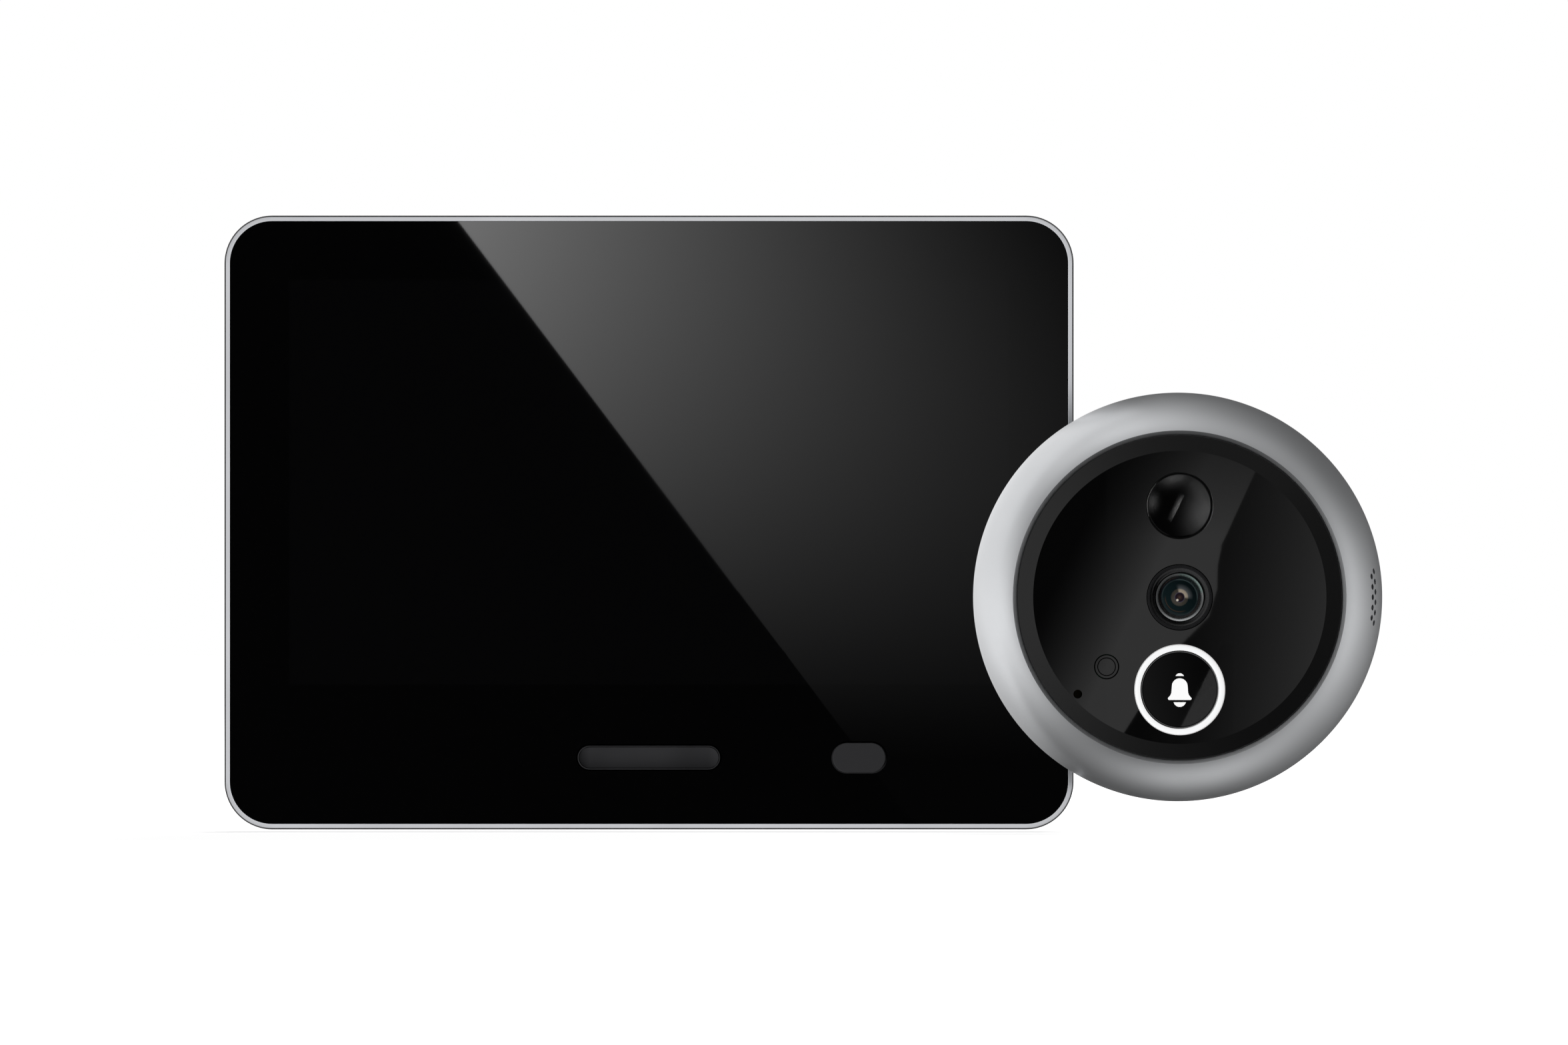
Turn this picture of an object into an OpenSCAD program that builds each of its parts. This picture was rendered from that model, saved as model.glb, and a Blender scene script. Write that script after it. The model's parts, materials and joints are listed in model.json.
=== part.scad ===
// Peephole door camera: an indoor monitor that hangs on its door bracket, and an
// outdoor bell camera with a threaded barrel. Both units face the viewer, and the
// bell stands in front of the monitor's lower right corner.
//
// Every piece is drawn lying on its back: x to the right, y up, z towards the
// viewer, with the door's face at z = 0 and the clamp sleeve on the z axis.
// stand_up() then turns the piece upright, so that its front faces -Y.

/* [Monitor case] */
// Width of the picture area
display_w = 95.2; // [85:0.1:105]
// Height of the picture area
display_h = 53.6; // [48:0.1:62]
// Black border and rim at the left and right of the picture
border_side = 8.4; // [8:0.1:12]
// Black border and rim above the picture
border_top = 8.4; // [8:0.1:12]
// Black border and rim below the picture, which holds the keys
border_bottom = 19; // [18:0.1:24]
// Corner radius of the case
case_corner_r = 6.3; // [6:0.1:7.5]
// Depth of the case from its back to the cover glass
case_depth = 20.8; // [20:0.1:26]
// Gap between the door and the back of the case
door_gap = 1.2; // [0.8:0.1:1.8]
// Wall of the rear shell
shell_wall = 1.8; // [1.4:0.1:2.2]
// Edge radius round the back of the rear shell
shell_round = 4; // [3:0.1:5.5]
// Width of the metal rim beside the glass
rim_w = 0.75; // [0.6:0.05:1.1]
// Height of the metal rim, seen from the side
rim_depth = 4.8; // [4.5:0.1:6]
// Edge radius of the metal rim
rim_round = 0.35; // [0.2:0.05:0.5]
// Ledge of the rim that carries the glass
rim_ledge = 2.2; // [1.6:0.1:2.6]
// Thickness of the cover glass
glass_t = 1.6; // [1.2:0.1:2]
// How far the glass stands out of the rim
glass_proud = 0.2; // [0:0.05:0.4]
// Chamfer round the front of the glass
glass_chamfer = 0.25; // [0.1:0.05:0.4]
// Thickness of the display cell
cell_t = 1.2; // [1:0.1:1.6]
// Thickness of the backlight tray
backlight_t = 2; // [1.5:0.1:2.4]
// Thickness of the circuit boards
board_t = 1.2; // [0.8:0.1:1.6]

/* [Monitor keys] */
// Length of the long home key
home_key_l = 18.8; // [14:0.1:24]
// Width of the home key
home_key_w = 3.15; // [2.6:0.05:4]
// Depth of the finger scoop in the home key
home_key_scoop = 0.55; // [0.2:0.05:0.8]
// Length of the short power key
power_key_l = 7; // [5.5:0.1:9]
// Width of the power key
power_key_w = 3.9; // [3.4:0.1:4.5]
// How far the power key stands out of the glass
power_key_proud = 0.35; // [0.1:0.05:0.6]
// Distance of the power key from the monitor's middle
power_key_x = 27.7; // [22:0.1:34]
// Height of the keys above the monitor's lower edge
key_up = 9.5; // [8.5:0.1:10.5]
// Gap round the keys
key_gap = 0.2; // [0.1:0.05:0.3]
// Travel of the monitor's keys
key_travel = 0.5; // [0.2:0.05:0.6]
// Travel of the reset key in the left side
reset_travel = 0.3; // [0.2:0.05:0.3]

/* [Door bracket] */
// Upward distance between the two rows of hooks
hook_pitch = 24; // [20:1:28]
// Plate above and below the rows of hooks
plate_ends = 11; // [9:0.5:12]
// Plate beyond the hooks at the left and right
plate_sides = 7; // [5:0.5:9]
// Thickness of the bracket plate
plate_t = 1.5; // [1.2:0.1:2]
// Thickness of the adhesive pads behind the plate
pad_t = 1; // [0.8:0.1:1.4]
// How far the monitor lifts to come off the bracket
lift_travel = 6; // [4.8:0.1:7]
// Length of a hook's tip
hook_tip = 4; // [3:0.1:4.6]
// Wall of the clamp sleeve, which goes through the door
sleeve_wall = 1.65; // [1:0.05:2.2]
// Length of the clamp sleeve behind the bracket plate
sleeve_l = 39; // [25:1:60]
// How far the clamp sleeve's flange stands out past its collar
sleeve_flange_w = 2.85; // [2:0.05:3.5]
// Thickness of the clamp sleeve's flange
sleeve_flange_t = 2.5; // [2:0.1:3]

/* [Bell camera] */
// Depth of the housing from its back to the front window
bell_depth = 14.7; // [13:0.1:18]
// Distance of the bell's axis past the monitor's right edge
bell_past_edge = 13.6; // [11:0.1:20]
// Distance of the bell's axis below the monitor's middle
bell_below = 9.8; // [0:0.1:20]
// Width of the metal ring beside the window
bell_ring_w = 5.7; // [4.6:0.1:8]
// Height of the housing's straight side, before its flank curves in
bell_side_h = 2.8; // [1.5:0.1:4.5]
// Wall of the bell housing
bell_wall = 1.6; // [1.3:0.1:2]
// Width of the window's bevel
window_bevel_w = 2; // [1:0.1:2.6]
// Depth of the window's bevel
window_bevel = 0.8; // [0.4:0.1:1.2]
// Thickness of the front window
window_t = 2.2; // [1.8:0.1:2.6]
// Thickness of the bell's rear cover
cover_t = 2; // [1.6:0.1:2.4]
// Thickness of the foam gasket behind the bell
gasket_t = 1.2; // [0.8:0.1:2]
// Outer diameter of the threaded barrel
barrel_d = 12; // [11:0.1:13]
// Inner diameter of the threaded barrel
barrel_bore_d = 8.4; // [7:0.1:9]
// How far the barrel reaches behind the door's face
barrel_reach = 13; // [10:0.5:40]
// Length of the barrel's threaded end
thread_l = 16; // [8:0.5:20]
// Pitch of the thread
thread_pitch = 1.25; // [1:0.25:1.75]

/* [Bell face] */
// Diameter of the lens barrel
lens_d = 6.3; // [5.6:0.1:7]
// Rim of the lens barrel round its front glass
lens_rim = 0.4; // [0.3:0.05:0.6]
// Wall of the shroud round the lens
shroud_wall = 1; // [0.8:0.05:1.3]
// Diameter of the motion sensor's dome
pir_d = 8.4; // [7.6:0.1:9.2]
// Height of the dome
pir_rise = 2.1; // [1.5:0.1:2.6]
// Space between the lens shroud and the dome
pir_space = 3.55; // [2.6:0.05:4]
// Diameter of the button's cap
button_d = 10; // [9:0.1:11]
// Width of the white light ring round the button
ring_w = 0.7; // [0.5:0.05:0.9]
// Space between the lens shroud and the light ring
button_space = 2; // [1.6:0.05:2.6]
// Window below the light ring
window_margin = 3.25; // [2.6:0.05:5]
// Travel of the bell button
button_travel = 0.6; // [0.3:0.05:0.7]
// Distance of the light sensor from the window's edge
light_edge = 8; // [7:0.1:8.6]
// Diameter of the light sensor's lens
light_d = 3.2; // [2.6:0.1:3.6]
// Distance of the microphone hole from the window's edge
mic_edge = 2.8; // [2.4:0.1:3.2]
// Diameter of the microphone hole
mic_d = 1.15; // [0.8:0.05:1.4]
// Diameter of a sound hole in the housing
sound_hole_d = 0.76; // [0.5:0.02:0.9]
// Pitch of the sound holes
sound_hole_pitch = 1.36; // [1.2:0.02:1.6]

/* [Fits] */
// Clearance between flat faces that slide past each other
slide_gap = 0.3; // [0.2:0.05:0.4]
// Radial clearance of a turning or sliding fit
running_gap = 0.08; // [0.05:0.01:0.1]
// Clearance between pieces that don't move
part_gap = 0.1; // [0.05:0.01:0.15]

/* [Hidden] */
$fn = 96;
// Overshoot of a cut past the face that it opens
cut = 1;

// Case sizes that follow from the picture and its borders
case_w = display_w + 2 * border_side;
case_h = display_h + border_top + border_bottom;
display_y = (border_bottom - border_top) / 2;
inner_w = case_w - 2 * shell_wall;
inner_h = case_h - 2 * shell_wall;
inner_corner_r = case_corner_r - shell_wall;
inner_round = max(shell_round - shell_wall, 0.5);

// Depths of the monitor's layers, from the door forwards
plate_back = pad_t;
plate_front = plate_back + plate_t;
recess_floor = plate_front + slide_gap;
recess_inside = recess_floor + shell_wall;
shell_inside = door_gap + shell_wall;
glass_front = door_gap + case_depth;
glass_back = glass_front - glass_t;
rim_front = glass_front - glass_proud;
parting = rim_front - rim_depth;
polarizer_t = 0.2;
backlight_front = glass_back - cell_t;
backlight_back = backlight_front - backlight_t;
// Room for the parts on the front of the main board
board_room = 3;
board_front = backlight_back - board_room;
board_back = board_front - board_t;

// Ledge of the rim, parts of the main board and the case microphone
rim_ledge_t = 1.5;
shield_h = 1.8;
shield_corner_r = 1;
processor_place = [-18, 8];
processor_size = [24, 20];
radio_place = [22, 14];
radio_size = [16, 14];
// Each chip as x, y, width, height and thickness
board_chip_list = [[4, -8, 10, 8, 1.2], [24, -8, 6, 6, 1], [-30, -14, 8, 5, 1.2], [38, 2, 5, 9, 1.4]];
mic_hole_x = case_w / 2 - 18;
mic_hole_r = 0.5;
mic_case_w = 4;
mic_case_l = 3;
mic_case_h = 1.6;
mic_hole_z = board_front + mic_case_h / 2;

// Case screws, in posts near the corners
screw_edge = 4.6;
screw_x = case_w / 2 - screw_edge;
screw_y = case_h / 2 - screw_edge;
screw_r = 1.2;
screw_head_r = 2.2;
screw_head_t = 1.8;
screw_sink = 1.4;
screw_post_r = 3.2;
rim_boss_r = 1.9;
screw_bite = 3.8;
screw_head_back = door_gap + screw_sink;
screw_head_front = screw_head_back + screw_head_t;

// The display module, clear of the screw bosses and the keys
module_side = 5.9;
module_top = 6.4;
key_y = key_up - case_h / 2;
key_flange = 0.8;
key_flange_t = 1;
module_w = case_w - 2 * module_side;
module_y1 = case_h / 2 - module_top;
module_y0 = key_y + power_key_w / 2 + key_flange + 1.5;

// Switches under the keys and the bell button
switch_h = 3.1;
switch_w = 6;
switch_l = 3.6;
stem_r = 0.9;
stem_dip = 0.4;
stem_bore_r = stem_r + 2 * part_gap;
stem_spare = 0.3;
stem_room = stem_dip + key_travel + stem_spare;
key_flange_front = glass_back - 2 * part_gap;
key_flange_back = key_flange_front - key_flange_t;
switch_front = board_front + switch_h;

// Clamp sleeve, whose bore takes the bell's barrel
barrel_r = barrel_d / 2;
sleeve_bore_r = barrel_r + part_gap;
sleeve_r = sleeve_bore_r + sleeve_wall;
sleeve_collar_r = sleeve_r + 0.4;
sleeve_flange_r = sleeve_collar_r + sleeve_flange_w;
plate_bore_r = sleeve_collar_r + running_gap;
flange_back = plate_front + part_gap;
flange_front = flange_back + sleeve_flange_t;
pocket_r = sleeve_flange_r + 1;
pocket_floor = flange_front + 1.5;

// Hooks beside the pocket, and the recess that takes the bracket plate
hook_w = 6;
hook_h = 3;
hook_t = 1.2;
hook_side = 0.4;
hook_rise = 1;
hook_pocket_space = 1.8;
hook_x = pocket_r + shell_wall + hook_pocket_space + hook_side + hook_w / 2;
hook_ys = [hook_rise + hook_pitch / 2, hook_rise - hook_pitch / 2];
hook_tip_back = recess_inside + slide_gap;
hook_tip_front = hook_tip_back + hook_t;
plate_w = 2 * (hook_x + hook_w / 2 + plate_sides);
plate_h = hook_pitch + 2 * plate_ends;
plate_corner_r = 4;
recess_side = 1;
recess_w = plate_w + 2 * recess_side;
recess_y1 = plate_h / 2 + recess_side;
recess_y0 = -plate_h / 2 - lift_travel - recess_side;

// Adhesive pads near the plate's corners
pad_w = 12;
pad_h = 8;
pad_edge = 2;
pad_corner_r = 1.5;
pad_x = plate_w / 2 - pad_w / 2 - pad_edge;
pad_y = plate_h / 2 - pad_h / 2 - pad_edge;

// Battery cells at both sides of the hooks
cell_clear = 0.2;
battery_hook_space = 2.5;
battery_side = 6;
battery_bottom = 17;
battery_top = 5.2;
battery_board_space = 0.6;
battery_corner_r = 1.5;
battery_x0 = hook_x + hook_w / 2 + battery_hook_space;
battery_x1 = inner_w / 2 - battery_side;
battery_y0 = battery_bottom - inner_h / 2;
battery_y1 = inner_h / 2 - battery_top;
battery_back = max(recess_inside, shell_inside) + cell_clear;
battery_front = board_back - battery_board_space;

// Socket of the bell's ribbon, behind the sleeve
ribbon_w = 13;
ribbon_h = 4.4;
ribbon_y = -9;

// Power socket and reset key in the left side
usb_w = 9;
usb_h = 3.2;
usb_l = 7.3;
usb_space = 0.3;
usb_opening = 0.4;
usb_inset = 0.8;
usb_y = battery_y0 - usb_space - usb_w / 2;
usb_z = board_back - usb_h / 2;
usb_mouth_x = usb_inset - case_w / 2;
reset_up = 7.7;
reset_behind_board = 1.3;
reset_y = battery_y0 + reset_up;
reset_r = 0.6;
reset_z = board_back - reset_behind_board;
reset_flange_r = 1.1;
reset_flange_x = -inner_w / 2 + 2 * part_gap;
reset_flange_t = 0.4;
reset_switch_x = reset_flange_x + reset_flange_t + reset_travel + 2 * part_gap;

// Loudspeaker of the monitor, behind the slots in the back
speaker_side = 7;
speaker_bottom = 2.4;
speaker_recess_space = 1.2;
speaker_corner_r = 2;
speaker_frame = 1;
speaker_x0 = inner_w / 2 - speaker_side;
speaker_x1 = recess_w / 2 + shell_wall + speaker_recess_space;
speaker_w = speaker_x0 - speaker_x1;
speaker_h = 12;
speaker_t = 5;
speaker_x = -(speaker_x0 + speaker_x1) / 2;
speaker_y = speaker_bottom + (speaker_h - inner_h) / 2;
speaker_slots = 5;
speaker_slot_pitch = 2.2;
speaker_slot_in = 2.5;
speaker_slot_l = speaker_w - 2 * speaker_slot_in;
speaker_slot_w = 1.1;

// Places of the pieces on the bell's face, from the lens outwards
lens_r = lens_d / 2;
front_glass_r = lens_r - lens_rim;
shroud_r = lens_r + part_gap + shroud_wall;
pir_r = pir_d / 2;
pir_up = shroud_r + pir_space + pir_r;
button_r = button_d / 2;
ring_in_r = button_r + 0.15;
ring_out_r = ring_in_r + ring_w;
button_down = shroud_r + button_space + ring_out_r;
window_r = button_down + ring_out_r + window_margin;
window_flat_r = window_r - window_bevel_w;
sensor_angle = 223.5;
light_r = light_d / 2;
light_x = (window_r - light_edge) * cos(sensor_angle);
light_y = (window_r - light_edge) * sin(sensor_angle);
mic_x = (window_r - mic_edge) * cos(sensor_angle);
mic_y = (window_r - mic_edge) * sin(sensor_angle);

// Place of the bell and its depths, counted from the back of its housing
bell_x = case_w / 2 + bell_past_edge;
bell_y = -bell_below;
bell_back = glass_front + slide_gap + gasket_t;
bell_r = window_r + bell_ring_w;
window_front = bell_depth;
window_back = window_front - window_t;
seat_r = window_r + 0.15;
mouth_chamfer = 0.5;
mouth_r = seat_r + mouth_chamfer;
mouth_v = window_front - 0.4;
ledge_t = 1.2;
ledge_back = window_back - ledge_t;
ledge_r = window_r - 0.8;
chassis_t = 1.6;
chassis_back = window_back - chassis_t;
chassis_r = ledge_r - 0.2;
back_chamfer = 0.6;

// Housing flank: part of an ellipse, from the straight side to the mouth
flank_end = 72;
flank_a = (bell_r - mouth_r) / (1 - cos(flank_end));
flank_b = (mouth_v - bell_side_h) / sin(flank_end);
lining_b = flank_b - bell_wall;
lining_end = asin((ledge_back - bell_side_h) / lining_b);

// Bell board, at a fixed depth behind the window, and the pieces on it
face_room = 6.3;
bell_board_front = window_back - face_room;
bell_board_back = bell_board_front - board_t;
bell_board_gap = bell_board_back - cover_t;
cover_screw_ring = bell_r - 4.3;
cover_boss_r = 1.7;
cover_screw_angles = [90, 210, 330];
cover_screw_r = 1;
cover_head_r = 1.9;
cover_head_t = 0.9;
cover_r = bell_r - bell_wall - part_gap;
bell_board_r = cover_screw_ring - cover_boss_r - 0.7;
bell_speaker_in = 11.4;
bell_board_flat = bell_r - bell_speaker_in;
board_screw_ring = bell_board_r - 4.2;
board_screw_angles = [45, 135, 235];
board_screw_r = 0.8;
infrared_led_places = [[-9, 5.5], [9, 5.5], [9, -4.5], [-9, -3.5]];
mic_boot_r = 1.2;
mic_can_h = 1.1;
led_h = 0.8;

// Clamped flanges of the face pieces, between the chassis and the window
clamp_t = 1.1;
clamp_w = 0.65;
clamp_back = window_back - clamp_t;
face_gap = 0.1;
pir_dome_base = window_front - 0.3;
pir_dome_r = (pow(pir_r, 2) + pow(pir_rise, 2)) / (2 * pir_rise);
pir_wall = 0.7;
shroud_front = window_front + 0.25;

// Bell button, held under a shoulder of its light ring, and its switch
ring_skirt_r = ring_out_r + clamp_w;
button_flange_r = ring_in_r + 0.5;
button_flange_t = 1;
button_shoulder = clamp_back - 1.1;
button_flange_front = button_shoulder - 2 * part_gap;
button_flange_back = button_flange_front - button_flange_t;
button_front = window_front - 0.1;
symbol_t = 0.3;
bell_stem_r = 1.2;
bell_switch_front = button_flange_back - button_travel - slide_gap;

// Lens elements in their barrel
lens_front = shroud_front - 0.65;
lens_back = bell_board_front + 1.2;
holder_h = 4.2;
glass_seat = 1.3;
inner_glass_r = 1.5;
inner_glass_t = 0.8;
inner_glass_front = lens_front - 2.6;
iris_r = 0.9;
rear_bore_r = 2;

// Barrel, from its flange on the rear cover to its threaded end
barrel_bore_r = barrel_bore_d / 2;
barrel_groove_r = barrel_r - 0.3;
barrel_flange_r = 10;
barrel_flange_t = 1.2;
barrel_end = -barrel_reach;
o_ring_r = 0.45;
gasket_hole_r = barrel_r + 2 * o_ring_r + 0.4;
thread_root_r = barrel_r - 0.6;
thread_crest_r = barrel_r - 0.05;
thread_turns = floor(thread_l / thread_pitch);
thread_start = barrel_end + thread_pitch / 2 + thread_turns * thread_pitch;

// Shared shapes

// Turns a piece drawn on its back upright, front to -Y
module stand_up() {
    rotate([90, 0, 0]) children();
}

// Places a piece of the bell, whose own z counts from the back of the housing
module at_bell() {
    stand_up() translate([bell_x, bell_y, bell_back]) children();
}

// Box centred on x and y, from one depth to another
module block(x, y, w, h, z0, z1) {
    translate([x - w / 2, y - h / 2, z0]) cube([w, h, z1 - z0]);
}

// Round post from one depth to another
module post(x, y, r, z0, z1) {
    translate([x, y, z0]) cylinder(r = r, h = z1 - z0);
}

module rounded_rect(w, h, r) {
    square([w - 2 * r, h], center = true);
    square([w, h - 2 * r], center = true);
    for (sx = [-1, 1], sy = [-1, 1])
        translate([sx * (w / 2 - r), sy * (h / 2 - r)]) circle(r);
}

module pill(l, w) {
    square([l - w, w], center = true);
    for (s = [-1, 1])
        translate([s * (l - w) / 2, 0]) circle(w / 2);
}

// Plate with round corners from one depth to another
module plate(x, y, w, h, r, z0, z1) {
    translate([x, y, z0]) linear_extrude(z1 - z0) rounded_rect(w, h, r);
}

// Pill-shaped plate from one depth to another
module pill_plate(x, y, l, w, z0, z1) {
    translate([x, y, z0]) linear_extrude(z1 - z0) pill(l, w);
}

// Upright slot for something that moves down by a travel
module drop_slot(r, travel, z0, z1) {
    post(0, 0, r, z0, z1);
    post(0, -travel, r, z0, z1);
    block(0, -travel / 2, 2 * r, travel, z0, z1);
}

// Sweeps a profile round a rectangle with round corners. The profile's x counts
// outwards from the corner's centre, and its y is the depth.
module swept(w, h, r) {
    for (k = [0:3]) {
        across = k % 2 == 0 ? w : h;
        along = k % 2 == 0 ? h : w;
        rotate([0, 0, 90 * k]) translate([across / 2 - r, along / 2 - r, 0]) {
            rotate_extrude(angle = 90) children();
            rotate([90, 0, 0]) linear_extrude(along - 2 * r) children();
        }
    }
}

// Solid slab whose edge has the given profile
module swept_slab(w, h, r, z0, z1) {
    swept(w, h, r) children();
    block(0, 0, w - 2 * r, h - 2 * r, z0, z1);
}

// Edge profile that is rounded at its back
module round_back_edge(r, edge, z0, z1) {
    difference() {
        translate([0, z0]) square([r, z1 - z0]);
        translate([r - edge, z0 + edge]) difference() {
            translate([0, -edge - cut]) square(edge + cut);
            circle(edge);
        }
    }
}

// Points along an arc
function arc(x, y, r, a0, a1, n) =
    [for (i = [0:n]) let (a = a0 + (a1 - a0) * i / n) [x + r * cos(a), y + r * sin(a)]];

// Screw with a cross recess, head at the back, drawn along z
module pan_screw(head_r, head_t, r, l) {
    slot_w = head_r * 0.35;
    slot_l = head_r * 1.3;
    difference() {
        cylinder(r = head_r, h = head_t);
        block(0, 0, slot_l, slot_w, -cut, head_t / 2);
        block(0, 0, slot_w, slot_l, -cut, head_t / 2);
    }
    translate([0, 0, head_t]) cylinder(r = r, h = l);
}

// Switch body with a round well for the key's stem
module key_switch(w, h, z0, z1, bore_r, bore_depth) {
    difference() {
        block(0, 0, w, h, z0, z1);
        post(0, 0, bore_r, z1 - bore_depth, z1 + cut);
    }
}

// Monitor case

module rear_shell() {
    color("#1b1b1d") stand_up() difference() {
        union() {
            difference() {
                swept_slab(case_w, case_h, case_corner_r, door_gap, parting)
                    round_back_edge(case_corner_r, shell_round, door_gap, parting);
                swept_slab(inner_w, inner_h, inner_corner_r, shell_inside, parting + cut)
                    round_back_edge(inner_corner_r, inner_round, shell_inside, parting + cut);
            }
            plate(0, (recess_y0 + recess_y1) / 2, recess_w + 2 * shell_wall,
                recess_y1 - recess_y0 + 2 * shell_wall, plate_corner_r + recess_side,
                (door_gap + shell_inside) / 2, recess_inside);
            drop_slot(pocket_r + shell_wall, lift_travel, recess_floor, pocket_floor + shell_wall);
            for (sx = [-1, 1], sy = [-1, 1])
                post(sx * screw_x, sy * screw_y, screw_post_r, (door_gap + shell_inside) / 2, board_back);
        }
        plate(0, (recess_y0 + recess_y1) / 2, recess_w, recess_y1 - recess_y0,
            plate_corner_r, door_gap - cut, recess_floor);
        drop_slot(pocket_r, lift_travel, door_gap, pocket_floor);
        block(0, ribbon_y, ribbon_w + 4 * part_gap, ribbon_h + 4 * part_gap,
            recess_floor, pocket_floor + shell_wall + cut);
        for (s = [-1, 1], y = hook_ys)
            hook_slot(s * hook_x, y);
        for (sx = [-1, 1], sy = [-1, 1]) {
            post(sx * screw_x, sy * screw_y, screw_head_r + part_gap, door_gap - cut, screw_head_front);
            post(sx * screw_x, sy * screw_y, screw_r + part_gap, screw_head_front - cut, board_back + cut);
        }
        for (i = [0:speaker_slots - 1])
            pill_plate(speaker_x, speaker_y + (i - (speaker_slots - 1) / 2) * speaker_slot_pitch,
                speaker_slot_l, speaker_slot_w, door_gap - cut, shell_inside + cut);
        translate([-case_w / 2 - cut, usb_y, usb_z]) rotate([0, 90, 0]) rotate([0, 0, 90])
            linear_extrude(shell_wall + 2 * cut) pill(usb_w + 2 * usb_opening, usb_h + 2 * usb_opening);
        translate([-case_w / 2 - cut, reset_y, reset_z]) rotate([0, 90, 0])
            cylinder(r = reset_r + 2 * part_gap, h = shell_wall + 2 * cut);
        translate([mic_hole_x, -case_h / 2 - cut, mic_hole_z]) rotate([-90, 0, 0])
            cylinder(r = mic_hole_r, h = shell_wall + 2 * cut);
    }
}

// Slot through the recess floor for one hook, with the shell resting on the hook
module hook_slot(x, y) {
    top = y + part_gap;
    bottom = y - hook_h - lift_travel - hook_side;
    block(x, (top + bottom) / 2, hook_w + 2 * hook_side, top - bottom,
        recess_floor - cut, recess_inside + cut);
}

module metal_rim() {
    r = case_corner_r;
    ledge_back_z = glass_back - rim_ledge_t;
    color("#c4c5c9") stand_up() difference() {
        union() {
            swept(case_w, case_h, r) difference() {
                polygon([
                    [r, parting], [r, rim_front], [r - rim_w, rim_front], [r - rim_w, glass_back],
                    [r - rim_w - rim_ledge, glass_back], [r - rim_w - rim_ledge, ledge_back_z],
                    [r - shell_wall, ledge_back_z], [r - shell_wall, parting]
                ]);
                translate([r - rim_round, rim_front - rim_round]) difference() {
                    square(rim_round + cut);
                    circle(rim_round);
                }
            }
            for (sx = [-1, 1], sy = [-1, 1])
                post(sx * screw_x, sy * screw_y, rim_boss_r, board_front, glass_back);
        }
        for (sx = [-1, 1], sy = [-1, 1])
            post(sx * screw_x, sy * screw_y, screw_r + part_gap / 2,
                board_front - cut, board_front + screw_bite + part_gap);
    }
}

module cover_glass() {
    w = case_w - 2 * rim_w - part_gap;
    h = case_h - 2 * rim_w - part_gap;
    r = case_corner_r - rim_w;
    color("#050506") stand_up() difference() {
        swept_slab(w, h, r, glass_back, glass_front) polygon([
            [0, glass_back], [r, glass_back], [r, glass_front - glass_chamfer],
            [r - glass_chamfer, glass_front], [0, glass_front]
        ]);
        pill_plate(0, key_y, home_key_l + 2 * key_gap, home_key_w + 2 * key_gap,
            glass_back - cut, glass_front + cut);
        pill_plate(power_key_x, key_y, power_key_l + 2 * key_gap, power_key_w + 2 * key_gap,
            glass_back - cut, glass_front + cut);
    }
}

module display_cell() {
    color("#101114") stand_up() {
        block(0, (module_y0 + module_y1) / 2, module_w, module_y1 - module_y0,
            backlight_front, glass_back - polarizer_t);
        block(0, display_y, display_w, display_h, backlight_front, glass_back);
    }
}

module display_backlight() {
    inset = 0.4;
    color("#b9bcc0") stand_up()
        block(0, (module_y0 + module_y1) / 2, module_w - 2 * inset, module_y1 - module_y0 - 2 * inset,
            backlight_back, backlight_front);
}

module main_board() {
    margin = 0.8;
    color("#14532d") stand_up() difference() {
        plate(0, 0, inner_w - 2 * margin, inner_h - 2 * margin, inner_corner_r - margin / 2,
            board_back, board_front);
        for (sx = [-1, 1], sy = [-1, 1])
            post(sx * screw_x, sy * screw_y, screw_r + 4 * part_gap, board_back - cut, board_front + cut);
    }
}

// Tinned can over a group of chips
module shield(place, size) {
    color("#a9adb3") stand_up() plate(place[0], place[1], size[0], size[1], shield_corner_r,
        board_front, board_front + shield_h);
}

module processor_shield() {
    shield(processor_place, processor_size);
}

module radio_shield() {
    shield(radio_place, radio_size);
}

module board_chips() {
    color("#202124") stand_up() for (c = board_chip_list)
        block(c[0], c[1], c[2], c[3], board_front, board_front + c[4]);
}

// Battery cell at one side, with the folded edge of its pouch at the top
module battery_cell(side) {
    edge_h = 3;
    edge_t = 1.2;
    edge_in = 2;
    middle_x = side * (battery_x0 + battery_x1) / 2;
    color("#8f959c") stand_up() {
        plate(middle_x, (battery_y0 + battery_y1 - edge_h) / 2, battery_x1 - battery_x0,
            battery_y1 - edge_h - battery_y0, battery_corner_r, battery_back, battery_front);
        block(middle_x, battery_y1 - edge_h, battery_x1 - battery_x0 - 2 * edge_in, 2 * edge_h,
            battery_back, battery_back + edge_t);
    }
}

module battery_cell_left() {
    battery_cell(-1);
}

module battery_cell_right() {
    battery_cell(1);
}

// Foam strips under the cells, beside the bracket's recess
module battery_foam() {
    side_space = 0.6;
    ends_in = 5;
    x0 = recess_w / 2 + shell_wall + side_space;
    x1 = battery_x1 - side_space;
    color("#3a3a3c") stand_up() for (s = [-1, 1])
        block(s * (x0 + x1) / 2, (battery_y0 + battery_y1) / 2, x1 - x0,
            battery_y1 - battery_y0 - 2 * ends_in, shell_inside, battery_back);
}

module monitor_speaker() {
    cone_t = 0.6;
    color("#2a2a2c") stand_up() difference() {
        plate(speaker_x, speaker_y, speaker_w, speaker_h, speaker_corner_r,
            shell_inside, shell_inside + speaker_t);
        plate(speaker_x, speaker_y, speaker_w - 2 * speaker_frame, speaker_h - 2 * speaker_frame,
            speaker_corner_r - speaker_frame / 2,
            shell_inside - cut, shell_inside + cone_t);
    }
}

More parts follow.
